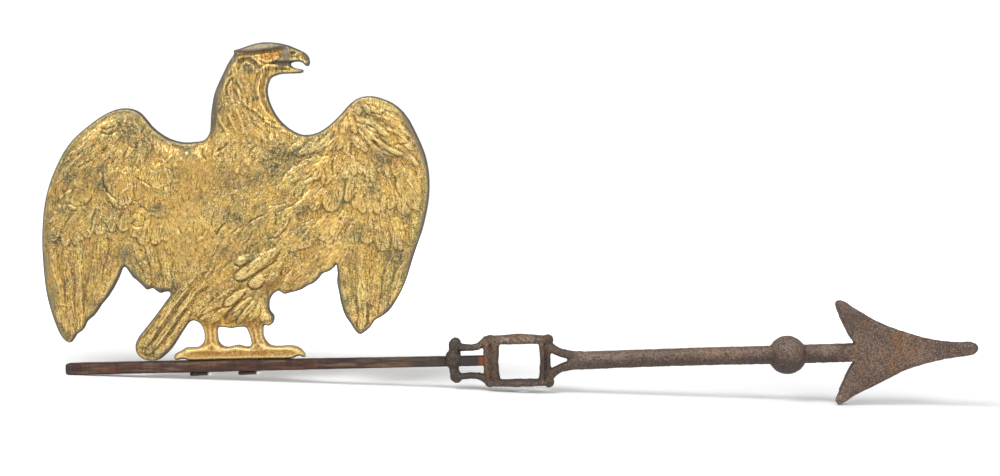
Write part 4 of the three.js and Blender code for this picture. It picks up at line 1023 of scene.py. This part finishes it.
def cutSheet(field):
    # a flat grid cut to the eagle's outline, with its edge drawn out to the line
    pitch, xs, zs = eagleMesh["pitch"], field["xs"], field["zs"]
    nx, nz = round((xs[-1] - xs[0]) / pitch), round((zs[-1] - zs[0]) / pitch)
    place = Matrix.Translation(((xs[0] + xs[-1]) / 2, 0, (zs[0] + zs[-1]) / 2))
    place = place @ Matrix.Rotation(math.pi / 2, 4, "X") @ Matrix.Diagonal((nx * pitch, nz * pitch, 1, 1))
    bm = bmesh.new()
    bmesh.ops.create_grid(bm, x_segments=nx, y_segments=nz, size=0.5, matrix=place)
    depths = sample(field, "depth", np.array([v.co for v in bm.verts]))
    outside = [v for v, depth in zip(bm.verts, depths) if depth < 0.3 * pitch]
    while outside:
        bmesh.ops.delete(bm, geom=outside, context="VERTS")
        outside = [v for v in bm.verts if not v.link_faces or sum(e.is_boundary for e in v.link_edges) > 2]
    edge = [v for v in bm.verts if v.is_boundary]
    spots = nearestOnLoops(np.array([(v.co.x, v.co.z) for v in edge]), field["loops"])
    for v, spot in zip(edge, spots):
        v.co = (spot[0], 0, spot[1])
    return bm


def makeEagle(field):
    m = eagleMesh
    bm = cutSheet(field)
    # the sheet is the front, its copy is the back, and walls join them round the edge
    side = bm.verts.layers.float.new("side")
    for v in bm.verts:
        v[side] = -1
    made = bmesh.ops.extrude_face_region(bm, geom=bm.faces[:], use_keep_orig=True)["geom"]
    for v in made:
        if isinstance(v, bmesh.types.BMVert):
            v[side] = 1
    walls = [e for e in bm.edges if e.verts[0][side] * e.verts[1][side] < 0]
    bmesh.ops.subdivide_edges(bm, edges=walls, cuts=m["wallRings"])
    places = np.array([v.co for v in bm.verts])
    sides = np.array([v[side] for v in bm.verts])
    rimHalf = np.minimum(sample(field, "thickness", places), eagle["rimHalf"])
    heights = np.where(sides < 0, -sample(field, "front", places), sample(field, "back", places))
    heights = np.where(np.abs(sides) < 0.99, sides * rimHalf, heights)
    for v, height in zip(bm.verts, heights):
        v.co.y = height
    rims = [v for v in bm.verts
            if abs(v[side]) > 0.99 and any(abs(e.other_vert(v)[side]) < 0.99 for e in v.link_edges)]
    for v, way in zip(rims, towardsInside(field, np.array([v.co for v in rims]))):
        v.co.x += way[0] * m["tuck"]
        v.co.z += way[1] * m["tuck"]
    piece = newPiece("gilded_eagle", bm, wornGoldLeaf(), "eagle")
    group = piece.vertex_groups.new(name="thinning")
    group.add([i for i, s in enumerate(sides) if s > -0.99], m["backThinning"], "REPLACE")
    group.add([i for i, s in enumerate(sides) if s <= -0.99], m["frontThinning"], "REPLACE")
    thin = piece.modifiers.new("thinned", "DECIMATE")
    thin.ratio = m["keep"]
    thin.vertex_group = group.name
    applyModifiers(piece)
    piece.vertex_groups.clear()
    mesh = piece.data
    places = placesOf(mesh) / mm
    for name in carried:
        carry(mesh, name, sample(field, name, places))
    acrossX, acrossZ = sample(field, "acrossX", places), sample(field, "acrossZ", places)
    across = np.stack([acrossX, 0 * acrossX, acrossZ], axis=1)
    mesh.attributes.new("across", "FLOAT_VECTOR", "POINT").data.foreach_set("vector", across.ravel())
    print("eagle", len(mesh.polygons), "faces")


def towardsInside(field, places):
    # unit steps from the outline into the casting
    field["slopeZ"], field["slopeX"] = np.gradient(blur(field["depth"], 3, 1))
    way = np.stack([sample(field, "slopeX", places), sample(field, "slopeZ", places)], axis=1)
    return way / (np.linalg.norm(way, axis=1, keepdims=True) + 1e-9)


goldLeaf = {
    "base": "#bd9545",
    "leaf": [
        dict(colour="#ddb556", size=34, detail=4, low=0.46, high=0.62, share=0.8),  # sound leaf
        dict(colour="#a97f3b", size=24, detail=4, low=0.5, high=0.66, share=0.7),
        dict(colour="#bc9268", size=12, detail=4, low=0.52, high=0.66, share=0.5),  # pinkish tan
        dict(colour="#918848", size=15, detail=4, low=0.53, high=0.66, share=0.75),  # greenish
        dict(colour="#b99658", where="sound", low=0.3, high=1, share=0.4),
        dict(colour="#96682a", where="slim", low=0.1, high=0.7, share=0.85),  # legs and foot
        dict(colour="#7d6c42", size=8, detail=4, low=0.36, high=0.6, share=0.75, within="dull"),
        # pale whole leaf, and painted light under the body
        dict(colour="#ecd082", size=3, detail=3, low=0.38, high=0.6, share=0.75, within="paleLeafAndLight"),
        dict(colour="#f4d894", where="hollow", low=-0.1, high=-0.9, share=0.6),  # painted highlight on the ridges
        dict(colour="#4a3a1e", where="hollow", low=0.15, high=1.1, share=0.7),  # dark grime and painted shade in the hollows
        # orange-brown in the creases, and painted shade under the brow
        dict(colour="#8d5c12", where="warmAndBrowShade", low=0.15, high=1, share=0.8),
        dict(colour="#8f5518", where="hollow", low=0.1, high=0.8, share=0.7, within="warmAndBrowShade"),
    ],
    "barbs": [  # short dark dashes along each feather, between its barbs
        dict(colour="#43361f", size=1.15, detail=2, low=0.52, high=0.62, share=0.85, within="plumed"),
    ],
    "wear": [
        dict(colour="#2f2a1b", size=1.3, detail=3, rough=0.75, low=0.535, high=0.6, share=0.8,
             within="scuffed"),
        dict(colour="#fff2bc", size=1.15, detail=2, low=0.565, high=0.66, share=0.55, within="scuffed"),
        # grey-green tarnish, with painted shade where its list says
        dict(colour="#77715a", size=7, detail=4, low=0.4, high=0.6, share=0.7, within="tarnishAndShade"),
        dict(colour="#3c3d2a", size=2.0, detail=3, rough=0.65, low=0.44, high=0.55, share=0.85,
             within="tarnishAndShade"),
        dict(colour="#8f8459", size=7, detail=4, low=0.37, high=0.64, share=0.65, within="rolled"),
        # the grey bare cap, with painted shade along its lower edge under the brow
        dict(colour="#6a6350", where="cap", low=0.1, high=0.45, share=0.9),
        dict(colour="#3a3226", where="cap", low=0.5, high=0.85, share=0.94),
        # bare grey metal on the rims, and painted shade where they widen on edges turned from the light
        dict(colour="#6c6353", where="rim", low=0, high=0.5, share=0.85),
        dict(colour="#453f37", where="rim", low=0.5, high=0.95, share=0.92),
    ],
    "scuffed": {"To Min": 1.0, "To Max": 0.15},  # how far the specks of wear show, by the mask sound
    "barbRun": 0.12,  # the barbs' pattern is drawn out along the feather by this share
    "pitSize": 1.7,  # mm
    "barbSize": 1.4,
    "bump": 0.5,  # mm
    "metallic": {"To Min": 0.7, "To Max": 0.25},  # of the leaf, and of bare weathered metal
    "roughness": 0.44,
}


def wornGoldLeaf():
    # gold leaf laid on a white-metal casting and long weathered: a broken, half-matt gold with dark pits
    # and streaks, grey-green tarnish, and bare grey metal on its rims; painted shade in its hollows, under
    # the brow and on edges turned from the light, and painted highlight on its ridges and pale places
    g = goldLeaf
    material, tree = newMaterial("worn_gold_leaf")
    place = addNode(tree, "ShaderNodeTexCoord").outputs["Object"]
    masks = {name: addNode(tree, "ShaderNodeAttribute", {"attribute_name": name}).outputs["Fac"]
             for name in carried}
    # the pattern of the barbs runs along each feather
    across = addNode(tree, "ShaderNodeAttribute", {"attribute_name": "across"}).outputs["Vector"]
    turned = {"operation": "CROSS_PRODUCT", 1: (0, g["barbRun"], 0)}
    along = addNode(tree, "ShaderNodeVectorMath", turned, {0: across}).outputs[0]
    dot = {"operation": "DOT_PRODUCT"}
    u, v = (addNode(tree, "ShaderNodeVectorMath", dot, {0: place, 1: way}).outputs["Value"]
            for way in (across, along))
    feather = addNode(tree, "ShaderNodeCombineXYZ", links={"X": u, "Y": v}).outputs[0]
    sound = {"Value": masks["sound"]}
    masks["scuffed"] = addNode(tree, "ShaderNodeMapRange", g["scuffed"], sound).outputs[0]
    smooth = {"operation": "SUBTRACT", 0: 1.0}
    masks["plumed"] = addNode(tree, "ShaderNodeMath", smooth, {1: masks["slim"]}).outputs[0]
    colour = coats(tree, place, g["base"], g["leaf"], masks)
    colour = coats(tree, feather, colour, g["barbs"], masks)
    colour = coats(tree, place, colour, g["wear"], masks)
    pitted = {"Scale": 1 / (g["pitSize"] * mm), "Detail": 3, "Roughness": 0.6}
    barbed = {"Scale": 1 / (g["barbSize"] * mm), "Detail": 2}
    pits = addNode(tree, "ShaderNodeTexNoise", pitted, {"Vector": place}).outputs["Fac"]
    barbs = addNode(tree, "ShaderNodeTexNoise", barbed, {"Vector": feather}).outputs["Fac"]
    both = addNode(tree, "ShaderNodeMath", {"operation": "ADD"}, {0: pits, 1: barbs}).outputs[0]
    bump = addNode(tree, "ShaderNodeBump", {"Strength": 0.8, "Distance": g["bump"] * mm}, {"Height": both})
    larger = {"operation": "MAXIMUM"}
    bare = addNode(tree, "ShaderNodeMath", larger, {0: masks["rim"], 1: masks["cap"]}).outputs[0]
    metallic = addNode(tree, "ShaderNodeMapRange", g["metallic"], {"Value": bare}).outputs[0]
    shader = addNode(tree, "ShaderNodeBsdfPrincipled", {"Roughness": g["roughness"]},
                     {"Base Color": colour, "Normal": bump.outputs["Normal"], "Metallic": metallic})
    addNode(tree, "ShaderNodeOutputMaterial", links={"Surface": shader.outputs[0]})
    return material


# Iron pieces

arrow = {
    "axis": -21.5,
    "voxel": 0.85,
    # each bar: stations of x, z, half height and half depth
    "hub": [(-74, -20.5, 5, 5), (-72, -20.5, 8, 8.6), (-67, -20.5, 9.4, 10.2), (-62, -20.8, 8.8, 9.6),
            (-59, -21, 6.5, 7.5)],
    "collar": [(-63, 1.2, 2, 2), (-63.4, -1, 4.6, 4.6), (-64.2, -5, 6.6, 6.2), (-65.4, -9.5, 5.4, 6),
               (-66.3, -16, 4.6, 6.2), (-66.1, -27, 4.8, 6.2), (-65.3, -33, 4.8, 6),
               (-63.8, -38.5, 6.3, 6.2), (-62.6, -42, 4.8, 4.6), (-62.4, -44.2, 2, 2)],
    "upperArm": [(-64, -7.8, 4, 5.6), (-56.5, -8.9, 3.7, 5.2), (-48, -9.2, 3.3, 5), (-41, -8.2, 3.5, 5.2),
                 (-36.5, -4.6, 3.6, 5.8), (-31.5, -0.8, 4.2, 6.6)],
    "lowerArm": [(-64, -38.1, 3.8, 5.6), (-56.5, -37.7, 3.2, 5.2), (-48, -37.1, 3.1, 5),
                 (-41, -37.9, 3.4, 5.2), (-36.5, -39.8, 3.6, 5.8), (-31.5, -43, 4, 6.6)],
    "topBar": [(-31, -1.9, 4.4, 8.6), (-20, -2, 4.4, 9.4), (-8, -1.7, 4.9, 11.4), (0, -1.4, 5.2, 12.4),
               (8, -1.6, 4.8, 11.4), (20, -2.4, 4.3, 9.4), (29, -2.8, 4, 8.6)],
    "bottomBar": [(-31, -45, 3.5, 8.6), (-18, -45.4, 3.5, 9.4), (0, -45.6, 3.8, 12.4),
                  (18, -45.6, 3.5, 9.4), (29, -45.5, 3.4, 8.6)],
    "outerPost": [(-31.4, 0, 3.6, 6.4), (-32.4, -8, 3.5, 7.6), (-32.8, -22, 3.7, 7.8),
                  (-32.4, -36, 3.5, 7.6), (-31.4, -45, 3.4, 6.4)],
    "innerPost": [(-23.6, 0.5, 4.8, 7.6), (-24.6, -10, 4.4, 8.6), (-25.3, -24, 4.3, 8.8),
                  (-24.7, -37, 4.4, 8.6), (-23.2, -46, 4.4, 7.6)],
    "rightPost": [(21.8, -1, 3.2, 7.6), (22.8, -12, 2.7, 8.6), (23.4, -24, 2.7, 8.8), (22.7, -36, 2.8, 8.6),
                  (21.6, -46, 3.2, 7.6)],
    "forkPost": [(28.6, -3, 3.6, 6.4), (28.8, -13, 2.6, 6.8), (29, -24, 2.2, 6.8), (28.8, -34, 2.6, 6.8),
                 (28.6, -44, 3.6, 6.4)],
    "upperFork": [(27.5, -7, 4.7, 6), (34, -12.5, 4.6, 5.8), (41, -16.2, 4.1, 6.2), (52.5, -19, 4.5, 7),
                  (62, -21, 6, 8)],
    "lowerFork": [(27.5, -41.6, 4.7, 6), (34, -35.4, 4.7, 5.8), (41, -31.6, 4.2, 6.2), (52.5, -28.9, 5, 7),
                  (62, -26.2, 7.6, 8)],
    "shaft": [(48, -23.5, 3, 4), (53.5, -24, 6.4, 7), (62, -24.7, 9.2, 8.6), (80, -24.2, 9, 8.9),
              (130, -23.4, 8.9, 8.8), (180, -22.9, 9.1, 8.7), (262, -22.9, 9.3, 8.8),
              (300, -22.4, 9.5, 8.6), (335, -22.3, 9.5, 8.4), (349, -22, 6, 5)],
    "knobs": [(-29, -2.2, 5.6), (28.9, -2.8, 5.7), (29, -45.4, 5.6), (-30.2, -44.4, 5.2)],
    "ball": (268.8, -23.3, 19.4),
    "head": [(336.2, -12.2), (333, -7.4), (329.8, -1.6), (326, 5.9), (321.1, 16.4), (317.9, 26),
             (319.3, 30), (324.8, 30), (337.2, 22.2), (352.6, 12.5), (366.6, 5.3), (381.4, -0.6),
             (396.3, -5.8), (411.1, -10), (427, -13.1), (441, -14.3), (454, -14.4), (458.6, -16.7),
             (459.7, -20.9), (456.6, -25.7), (448.1, -27.9), (435.5, -29.4), (420.9, -31.3), (407.9, -34.5),
             (394.1, -38.2), (380.4, -43.4), (365.4, -50.8), (349.7, -58.4), (336.1, -64.9), (325.3, -71.8),
             (319.3, -73.8), (316.9, -71), (319, -65.2), (324, -54.2), (329.3, -43.2), (333.6, -35),
             (336.2, -31.6)],
    "headSteps": 3,  # points of the smooth outline in each span
    "bored": [(0, -3.5, 7, 5.6, 4.6), (0, -45, 14, 6.2, 6.2)],  # x, z, length, radius below and above
    "pocket": (-90, -30.8, 5.4),  # from x to x, half width
    # x, z, radius, strength: darker rust, orange bloom, and places rubbed grey, with painted highlights on
    # the ball's top and barb tip
    "dark": [(-66, -6, 12, 0.9), (-68, -22, 14, 0.8), (-64, -38, 12, 0.9), (-48, -9, 10, 0.6),
             (-46, -38, 12, 0.8), (-27, -24, 12, 0.7), (-25, -40, 10, 0.6), (24, -26, 14, 0.8),
             (26, -44, 14, 0.6), (0, -45, 18, 0.4), (42, -16, 12, 0.4), (42, -30, 10, 0.6),
             (24, -3, 8, 0.5), (-29, -12, 7, 0.5), (-27, -37, 9, 0.4)],
    "bloom": [(-33, -14, 8, 0.9), (-36, -22, 6, 1), (-30, -34, 9, 0.6), (-28, -4, 8, 0.4), (-4, 4, 8, 0.9),
              (8, 2, 7, 0.4), (28, -12, 9, 0.4), (30, -38, 9, 0.4), (388, -16, 18, 0.8),
              (372, -30, 16, 0.5), (345, -45, 14, 0.3)],
    "rubbedAndHighlit": [(-14, -1, 9, 0.7), (2, -1, 9, 0.8), (16, -2, 8, 0.7), (268.8, -11, 12, 0.4),
               (320, -68, 7, 1.0)],
    "round": (50, 318),  # from x to x, where the shaft and ball are painted darker below and paler on top: painted shade and light
    "headHalf": 5,  # half thickness at the rim, how far the flat stands up inside it, and over what width
    "headRise": 1.5,
    "headSlope": 3.2,
    "knobDepth": 1.4,  # the knobs' depth across the vane, as a share of their radius
    "skin": [(0.35, 7), (0.22, 2.6)],  # the sand-cast surface: rise and size of its lumps
}


def sweep(bm, stations, sides=20, square=2.6):
    # a bar along stations of x, z, half height and half depth
    ring = bmesh.ops.create_circle(bm, cap_ends=True, radius=1, segments=sides)["verts"]
    for v in ring:
        v.co.xy /= (abs(v.co.x) ** square + abs(v.co.y) ** square) ** (1 / square)
    face = ring[0].link_faces[0]
    last = Matrix.Identity(4)
    for k, (x, z, across, deep) in enumerate(stations):
        before, after = stations[max(k - 1, 0)], stations[min(k + 1, len(stations) - 1)]
        run = Vector((after[0] - before[0], 0, after[1] - before[1])).normalized()
        place = Matrix(((-run.z * across, 0, run.x, x), (0, deep, 0, 0),
                        (run.x * across, 0, run.z, z), (0, 0, 0, 1)))
        if k:
            made = bmesh.ops.extrude_face_region(bm, geom=[face])["geom"]
            ring = [g for g in made if isinstance(g, bmesh.types.BMVert)]
            face = [g for g in made if isinstance(g, bmesh.types.BMFace)][0]
        bmesh.ops.transform(bm, matrix=place @ last.inverted(), verts=ring)
        last = place


def globe(bm, x, z, radius, deep=1.0):
    stretch = Matrix.Diagonal((1, 1, deep, 1))
    place = Matrix.Translation((x, 0, z)) @ Matrix.Rotation(math.pi / 2, 4, "X") @ stretch
    bmesh.ops.create_uvsphere(bm, u_segments=32, v_segments=20, radius=radius, matrix=place)


def arrowHead(bm, a):
    points = smoothLoop(a["head"], a["headSteps"])
    face = bm.faces.new([bm.verts.new((x, -a["headHalf"], z)) for x, z in points])
    made = bmesh.ops.extrude_face_region(bm, geom=[face])["geom"]
    back = [g for g in made if isinstance(g, bmesh.types.BMVert)]
    bmesh.ops.translate(bm, vec=(0, 2 * a["headHalf"], 0), verts=back)
    other = [g for g in made if isinstance(g, bmesh.types.BMFace) and len(g.verts) > 4][0]
    bmesh.ops.recalc_face_normals(bm, faces=bm.faces)
    for flat in (face, other):
        bmesh.ops.inset_region(bm, faces=[flat], thickness=a["headSlope"], depth=a["headRise"],
                               use_even_offset=True)


def cutOpenings(piece, a):
    # the bar's pocket, the bearing cup under the top bar and the spindle's hole in the bottom bar
    bm = bmesh.new()
    for x, z, length, low, high in a["bored"]:
        place = Matrix.Translation((x, 0, z))
        bmesh.ops.create_cone(bm, cap_ends=True, segments=40, radius1=low, radius2=high, depth=length,
                              matrix=place)
    x0, x1, half = a["pocket"]
    place = Matrix.Translation(((x0 + x1) / 2, 0, a["axis"]))
    stretch = Matrix.Diagonal((x1 - x0, 2 * half, 2 * half, 1))
    bmesh.ops.create_cube(bm, size=1, matrix=place @ stretch)
    bmesh.ops.scale(bm, vec=(mm, mm, mm), verts=bm.verts)
    mesh = bpy.data.meshes.new("cutter")
    bm.to_mesh(mesh)
    bm.free()
    cutter = bpy.data.objects.new("cutter", mesh)
    scene.collection.objects.link(cutter)
    cut = piece.modifiers.new("openings", "BOOLEAN")
    cut.operation = "DIFFERENCE"
    cut.object = cutter
    applyModifiers(piece)
    bpy.data.objects.remove(cutter)
    bpy.data.meshes.remove(mesh)


def makeArrow():
    a = arrow
    bm = bmesh.new()
    arrowHead(bm, a)
    for name in ("hub", "collar", "upperArm", "lowerArm", "topBar", "bottomBar", "outerPost", "innerPost",
                 "rightPost", "forkPost", "upperFork", "lowerFork"):
        sweep(bm, a[name])
    sweep(bm, a["shaft"], sides=40, square=2)
    x, z, radius = a["ball"]
    globe(bm, x, z, radius)
    for x, z, radius in a["knobs"]:
        globe(bm, x, z, radius, a["knobDepth"])
    piece = newPiece("cast_arrow", bm, castIron(), "arrow")
    remesh = piece.modifiers.new("cast in one", "REMESH")
    remesh.mode = "VOXEL"
    remesh.voxel_size = a["voxel"] * mm
    smooth = piece.modifiers.new("soft", "SMOOTH")
    smooth.iterations = 3
    smooth.factor = 0.5
    applyModifiers(piece)
    roughen(piece, a["skin"])
    cutOpenings(piece, a)
    spreadRust(piece.data, a)
    print("arrow", len(piece.data.polygons), "faces")


def spreadRust(mesh, a):
    # round the shaft and ball the rust is painted dark below and pale above, as painted shade and light;
    # elsewhere the casting's sides, turned away from the front, are darkened as painted shade
    x, _, z = placesOf(mesh).T / mm
    for name in ("dark", "bloom", "rubbedAndHighlit"):
        value = sum(much * np.exp(-((x - cx) ** 2 + (z - cz) ** 2) / size**2)
                    for cx, cz, size, much in a[name])
        carry(mesh, name, np.clip(value, 0, 1))
    _, faced, up = normalsOf(mesh).T
    start, end = a["round"]
    up = up * smoothstep(start, start + 12, x) * (x < end)
    carry(mesh, "below", np.clip(0.4 - 2.6 * up, 0, 1) * (up != 0))
    carry(mesh, "above", np.clip(2.2 * up - 0.25, 0, 1))
    carry(mesh, "sides", smoothstep(0.45, 0.95, 1 - np.abs(faced)) * (up == 0))


def roughen(piece, scales):
    mesh = piece.data
    places = placesOf(mesh)
    push = np.zeros(len(places))
    for rise, size in scales:
        push += rise * mm * np.array([noise.noise(Vector(p) / (size * mm)) for p in places])
    mesh.vertices.foreach_set("co", (places + normalsOf(mesh) * push[:, None]).ravel())
    mesh.update()


rustyIron = {
    "base": "#6a5548",
    "layers": [
        dict(colour="#4e3c33", size=26, detail=4, low=0.4, high=0.6, share=0.8),
        dict(colour="#755b43", size=34, detail=5, low=0.52, high=0.66, share=0.6),
        dict(colour="#7c4c26", size=19, detail=5, low=0.6, high=0.7, share=0.6),
        dict(colour="#3b2d26", size=7, detail=4, low=0.5, high=0.62, share=0.55),
        dict(colour="#29231d", where="dark", low=0, high=1, share=0.8),
        # painted shade below and painted light on top round the shaft and ball, and painted shade on the
        # sides
        dict(colour="#32241e", where="below", low=0, high=1, share=0.55),
        dict(colour="#93806f", where="above", low=0, high=1, share=0.26),
        dict(colour="#2a201b", where="sides", low=0, high=1, share=0.6),
        dict(colour="#8a5b30", size=5, detail=4, low=0.4, high=0.56, share=0.55, within="bloom"),
        # rubbed grey, with painted highlights on the ball's top and the lower barb's tip
        dict(colour="#a1907e", size=4, detail=4, low=0.4, high=0.6, share=0.6, within="rubbedAndHighlit"),
        dict(colour="#2c221a", where="bent", low=0.49, high=0.44, share=0.85),  # painted shade and dark rust in the inner corners
        dict(colour="#261d18", size=1.8, detail=3, rough=0.7, low=0.5, high=0.57, share=0.75),  # pits
        dict(colour="#b3a48f", size=1.3, detail=2, low=0.58, high=0.68, share=0.6, within="scoured"),
    ],
    # from and to, m along the arrow: its head is the most scoured
    "scoured": {"From Min": 0.32, "From Max": 0.35, "To Min": 0.4},
    "pitSize": 1.6,  # mm
    "bump": 0.7,  # mm
    "metallic": 0.2,
    "roughness": 0.6,
}


def castIron():
    # iron cast in sand and left out of doors: brown-grey rust with black pits, orange bloom in places, grey
    # where it is rubbed; painted highlights on the ball's top and the lower barb's tip, painted shade below
    # and painted light on top round the shaft and ball, and painted shade on its sides and in its inner
    # corners
    r = rustyIron
    material, tree = newMaterial("pitted_cast_iron")
    place = addNode(tree, "ShaderNodeTexCoord").outputs["Object"]
    masks = {name: addNode(tree, "ShaderNodeAttribute", {"attribute_name": name}).outputs["Fac"]
             for name in ("dark", "bloom", "rubbedAndHighlit", "below", "above", "sides")}
    masks["bent"] = addNode(tree, "ShaderNodeNewGeometry").outputs["Pointiness"]
    along = addNode(tree, "ShaderNodeSeparateXYZ", links={"Vector": place}).outputs["X"]
    masks["scoured"] = addNode(tree, "ShaderNodeMapRange", r["scoured"], {"Value": along}).outputs[0]
    colour = coats(tree, place, r["base"], r["layers"], masks)
    pitted = {"Scale": 1 / (r["pitSize"] * mm), "Detail": 4, "Roughness": 0.65}
    pits = addNode(tree, "ShaderNodeTexNoise", pitted, {"Vector": place}).outputs["Fac"]
    bump = addNode(tree, "ShaderNodeBump", {"Strength": 1.0, "Distance": r["bump"] * mm}, {"Height": pits})
    sheen = {"Metallic": r["metallic"], "Roughness": r["roughness"]}
    shader = addNode(tree, "ShaderNodeBsdfPrincipled", sheen,
                     {"Base Color": colour, "Normal": bump.outputs["Normal"]})
    addNode(tree, "ShaderNodeOutputMaterial", links={"Surface": shader.outputs[0]})
    return material


bar = {
    "stations": [  # x, height of its middle, half its side
        (-454.6, -21.9, 4.1), (-453.6, -21.9, 5.2), (-451.5, -21.9, 5.8), (-440, -21.9, 5.9),
        (-330, -21.9, 5.9), (-179, -22.1, 5.3), (-89, -22.3, 5.1), (-31.2, -22.3, 5),
    ],
    "steps": 160,
    "skin": [(0.18, 14), (0.1, 4)],  # rise and size of its waves
}


def makeBar():
    b = bar
    xs, middles, halves = np.transpose(b["stations"])
    where = np.unique(np.concatenate([xs, np.linspace(xs[0], xs[-1], b["steps"])]))
    lines = np.interp(where, xs, middles), np.interp(where, xs, halves)
    bm = bmesh.new()
    sweep(bm, [(x, z, half, half) for x, z, half in zip(where, *lines)], sides=40, square=7)
    piece = newPiece("iron_bar", bm, barIron(), "tail_bar")
    for face in piece.data.polygons:
        face.use_smooth = True
    # the bar's rounded corners, darkened in its colour as painted shade
    cornerShade = np.abs(normalsOf(piece.data)[:, 1:]).min(axis=1) * (placesOf(piece.data)[:, 0] / mm > xs[2])
    carry(piece.data, "cornerShade", np.clip(1.6 * cornerShade, 0, 1))
    roughen(piece, b["skin"])
    print("bar", len(piece.data.polygons), "faces")


redBrownIron = {
    "base": "#3d2318",
    "layers": [  # along: low and high are places along the bar, in m
        dict(colour="#62371e", size=9, detail=4, low=0.45, high=0.62, share=0.8),
        dict(colour="#5c4a37", where="along", low=-0.19, high=-0.14, share=0.7),  # olive-brown to the right
        dict(colour="#7a5f48", size=5, detail=4, low=0.52, high=0.66, share=0.55),
        dict(colour="#241a16", size=3, detail=4, low=0.48, high=0.6, share=0.7),
        dict(colour="#1e1a18", size=12, detail=3, low=0.54, high=0.64, share=0.7),
        dict(colour="#242325", where="along", low=-0.115, high=-0.08, share=0.7),  # dark at the collar
        dict(colour="#2b211c", where="along", low=-0.436, high=-0.452, share=0.7),  # the free end
        dict(colour="#2b2823", where="along", low=-0.0625, high=-0.0585, share=0.5),  # inside the cage
        dict(colour="#8a4c24", where="along", low=-0.0425, high=-0.038, share=0.75),  # orange at the post
        # painted shade on the rounded corners
        dict(colour="#1f1713", where="cornerShade", low=0.2, high=0.9, share=0.7),
    ],
    "drawn": (0.12, 1, 1),  # the skin is drawn out along the bar
    "grainSize": 1.6,  # mm
    "bump": 0.3,  # mm
    "metallic": 0.2,
    "roughness": 0.55,
}


def barIron():
    # wrought iron rolled to a square bar: a thin red-brown skin, streaked along it by the rolling, nearly
    # black at the collar and orange where water stands at the post; its rounded corners darkened as painted
    # shade
    r = redBrownIron
    material, tree = newMaterial("red_brown_wrought_iron")
    place = addNode(tree, "ShaderNodeTexCoord").outputs["Object"]
    drawn = addNode(tree, "ShaderNodeMapping", {"Scale": r["drawn"]}, {"Vector": place}).outputs["Vector"]
    cornerShade = addNode(tree, "ShaderNodeAttribute", {"attribute_name": "cornerShade"}).outputs["Fac"]
    along = addNode(tree, "ShaderNodeSeparateXYZ", links={"Vector": place}).outputs["X"]
    colour = coats(tree, drawn, r["base"], r["layers"], {"cornerShade": cornerShade, "along": along})
    grained = {"Scale": 1 / (r["grainSize"] * mm), "Detail": 3}
    height = addNode(tree, "ShaderNodeTexNoise", grained, {"Vector": drawn}).outputs["Fac"]
    pressed = {"Strength": 0.5, "Distance": r["bump"] * mm}
    bump = addNode(tree, "ShaderNodeBump", pressed, {"Height": height})
    sheen = {"Metallic": r["metallic"], "Roughness": r["roughness"]}
    shader = addNode(tree, "ShaderNodeBsdfPrincipled", sheen,
                     {"Base Color": colour, "Normal": bump.outputs["Normal"]})
    addNode(tree, "ShaderNodeOutputMaterial", links={"Surface": shader.outputs[0]})
    return material


pin = {
    "radius": 1.85,
    "feet": {"pin_left": -309, "pin_right": -260.5},  # mm along the bar
    "stations": [  # mm to the right of its line, height, and thickness and depth as shares of its radius
        (0, -3, 0.8, 0.8), (0, -3.6, 1, 1), (0, -26.3, 1, 1), (-0.15, -27.5, 1, 1), (-0.6, -28.6, 1.3, 1.2),
        (-2, -29.3, 1.25, 1.2), (-5, -29.4, 1.15, 1), (-20.5, -29.9, 1.1, 1), (-22.1, -30, 0.7, 0.7),
    ],
    "scrapeGlint": (-26, 3.6),  # mm: below this height, and how far along it the bend is scraped, with a painted glint
}


def makePins():
    material = pinIron()
    radius, (height, reach) = pin["radius"], pin["scrapeGlint"]
    for name, x in pin["feet"].items():
        bm = bmesh.new()
        stations = [(x + right, z, radius * thick, radius * deep)
                    for right, z, thick, deep in pin["stations"]]
        sweep(bm, stations, sides=16, square=2)
        piece = newPiece("bent_" + name, bm, material, name)
        finish = piece.modifiers.new("round", "SUBSURF")
        finish.levels = finish.render_levels = 2
        applyModifiers(piece)
        places = placesOf(piece.data) / mm
        carry(piece.data, "scrapeGlint", np.exp(-((places[:, 0] - x) / reach) ** 2) * (places[:, 2] < height))
    print("pins", len(pin["feet"]))


blackIron = {
    "base": "#332b27",
    "layers": [
        dict(colour="#574a44", size=3, detail=3, low=0.5, high=0.7, share=0.8),
        # painted glint at the bend, where it is scraped
        dict(colour="#f0ece4", where="scrapeGlint", low=0.25, high=0.7, share=0.95),
    ],
    "metallic": 0.4,
    "roughness": 0.42,
}


def pinIron():
    # iron wire blackened by forging, scraped by the tool where it was bent over, with a bright glint
    # painted there
    b = blackIron
    material, tree = newMaterial("blackened_pin_iron")
    place = addNode(tree, "ShaderNodeTexCoord").outputs["Object"]
    scrapeGlint = addNode(tree, "ShaderNodeAttribute", {"attribute_name": "scrapeGlint"}).outputs["Fac"]
    colour = coats(tree, place, b["base"], b["layers"], {"scrapeGlint": scrapeGlint})
    sheen = {"Metallic": b["metallic"], "Roughness": b["roughness"]}
    shader = addNode(tree, "ShaderNodeBsdfPrincipled", sheen, {"Base Color": colour})
    addNode(tree, "ShaderNodeOutputMaterial", links={"Surface": shader.outputs[0]})
    return material


relief = startField()
layFeathers(relief)
shapeFaces(relief)
spreadWear(relief)
print("relief ready")
makeEagle(relief)
makeArrow()
makeBar()
makePins()
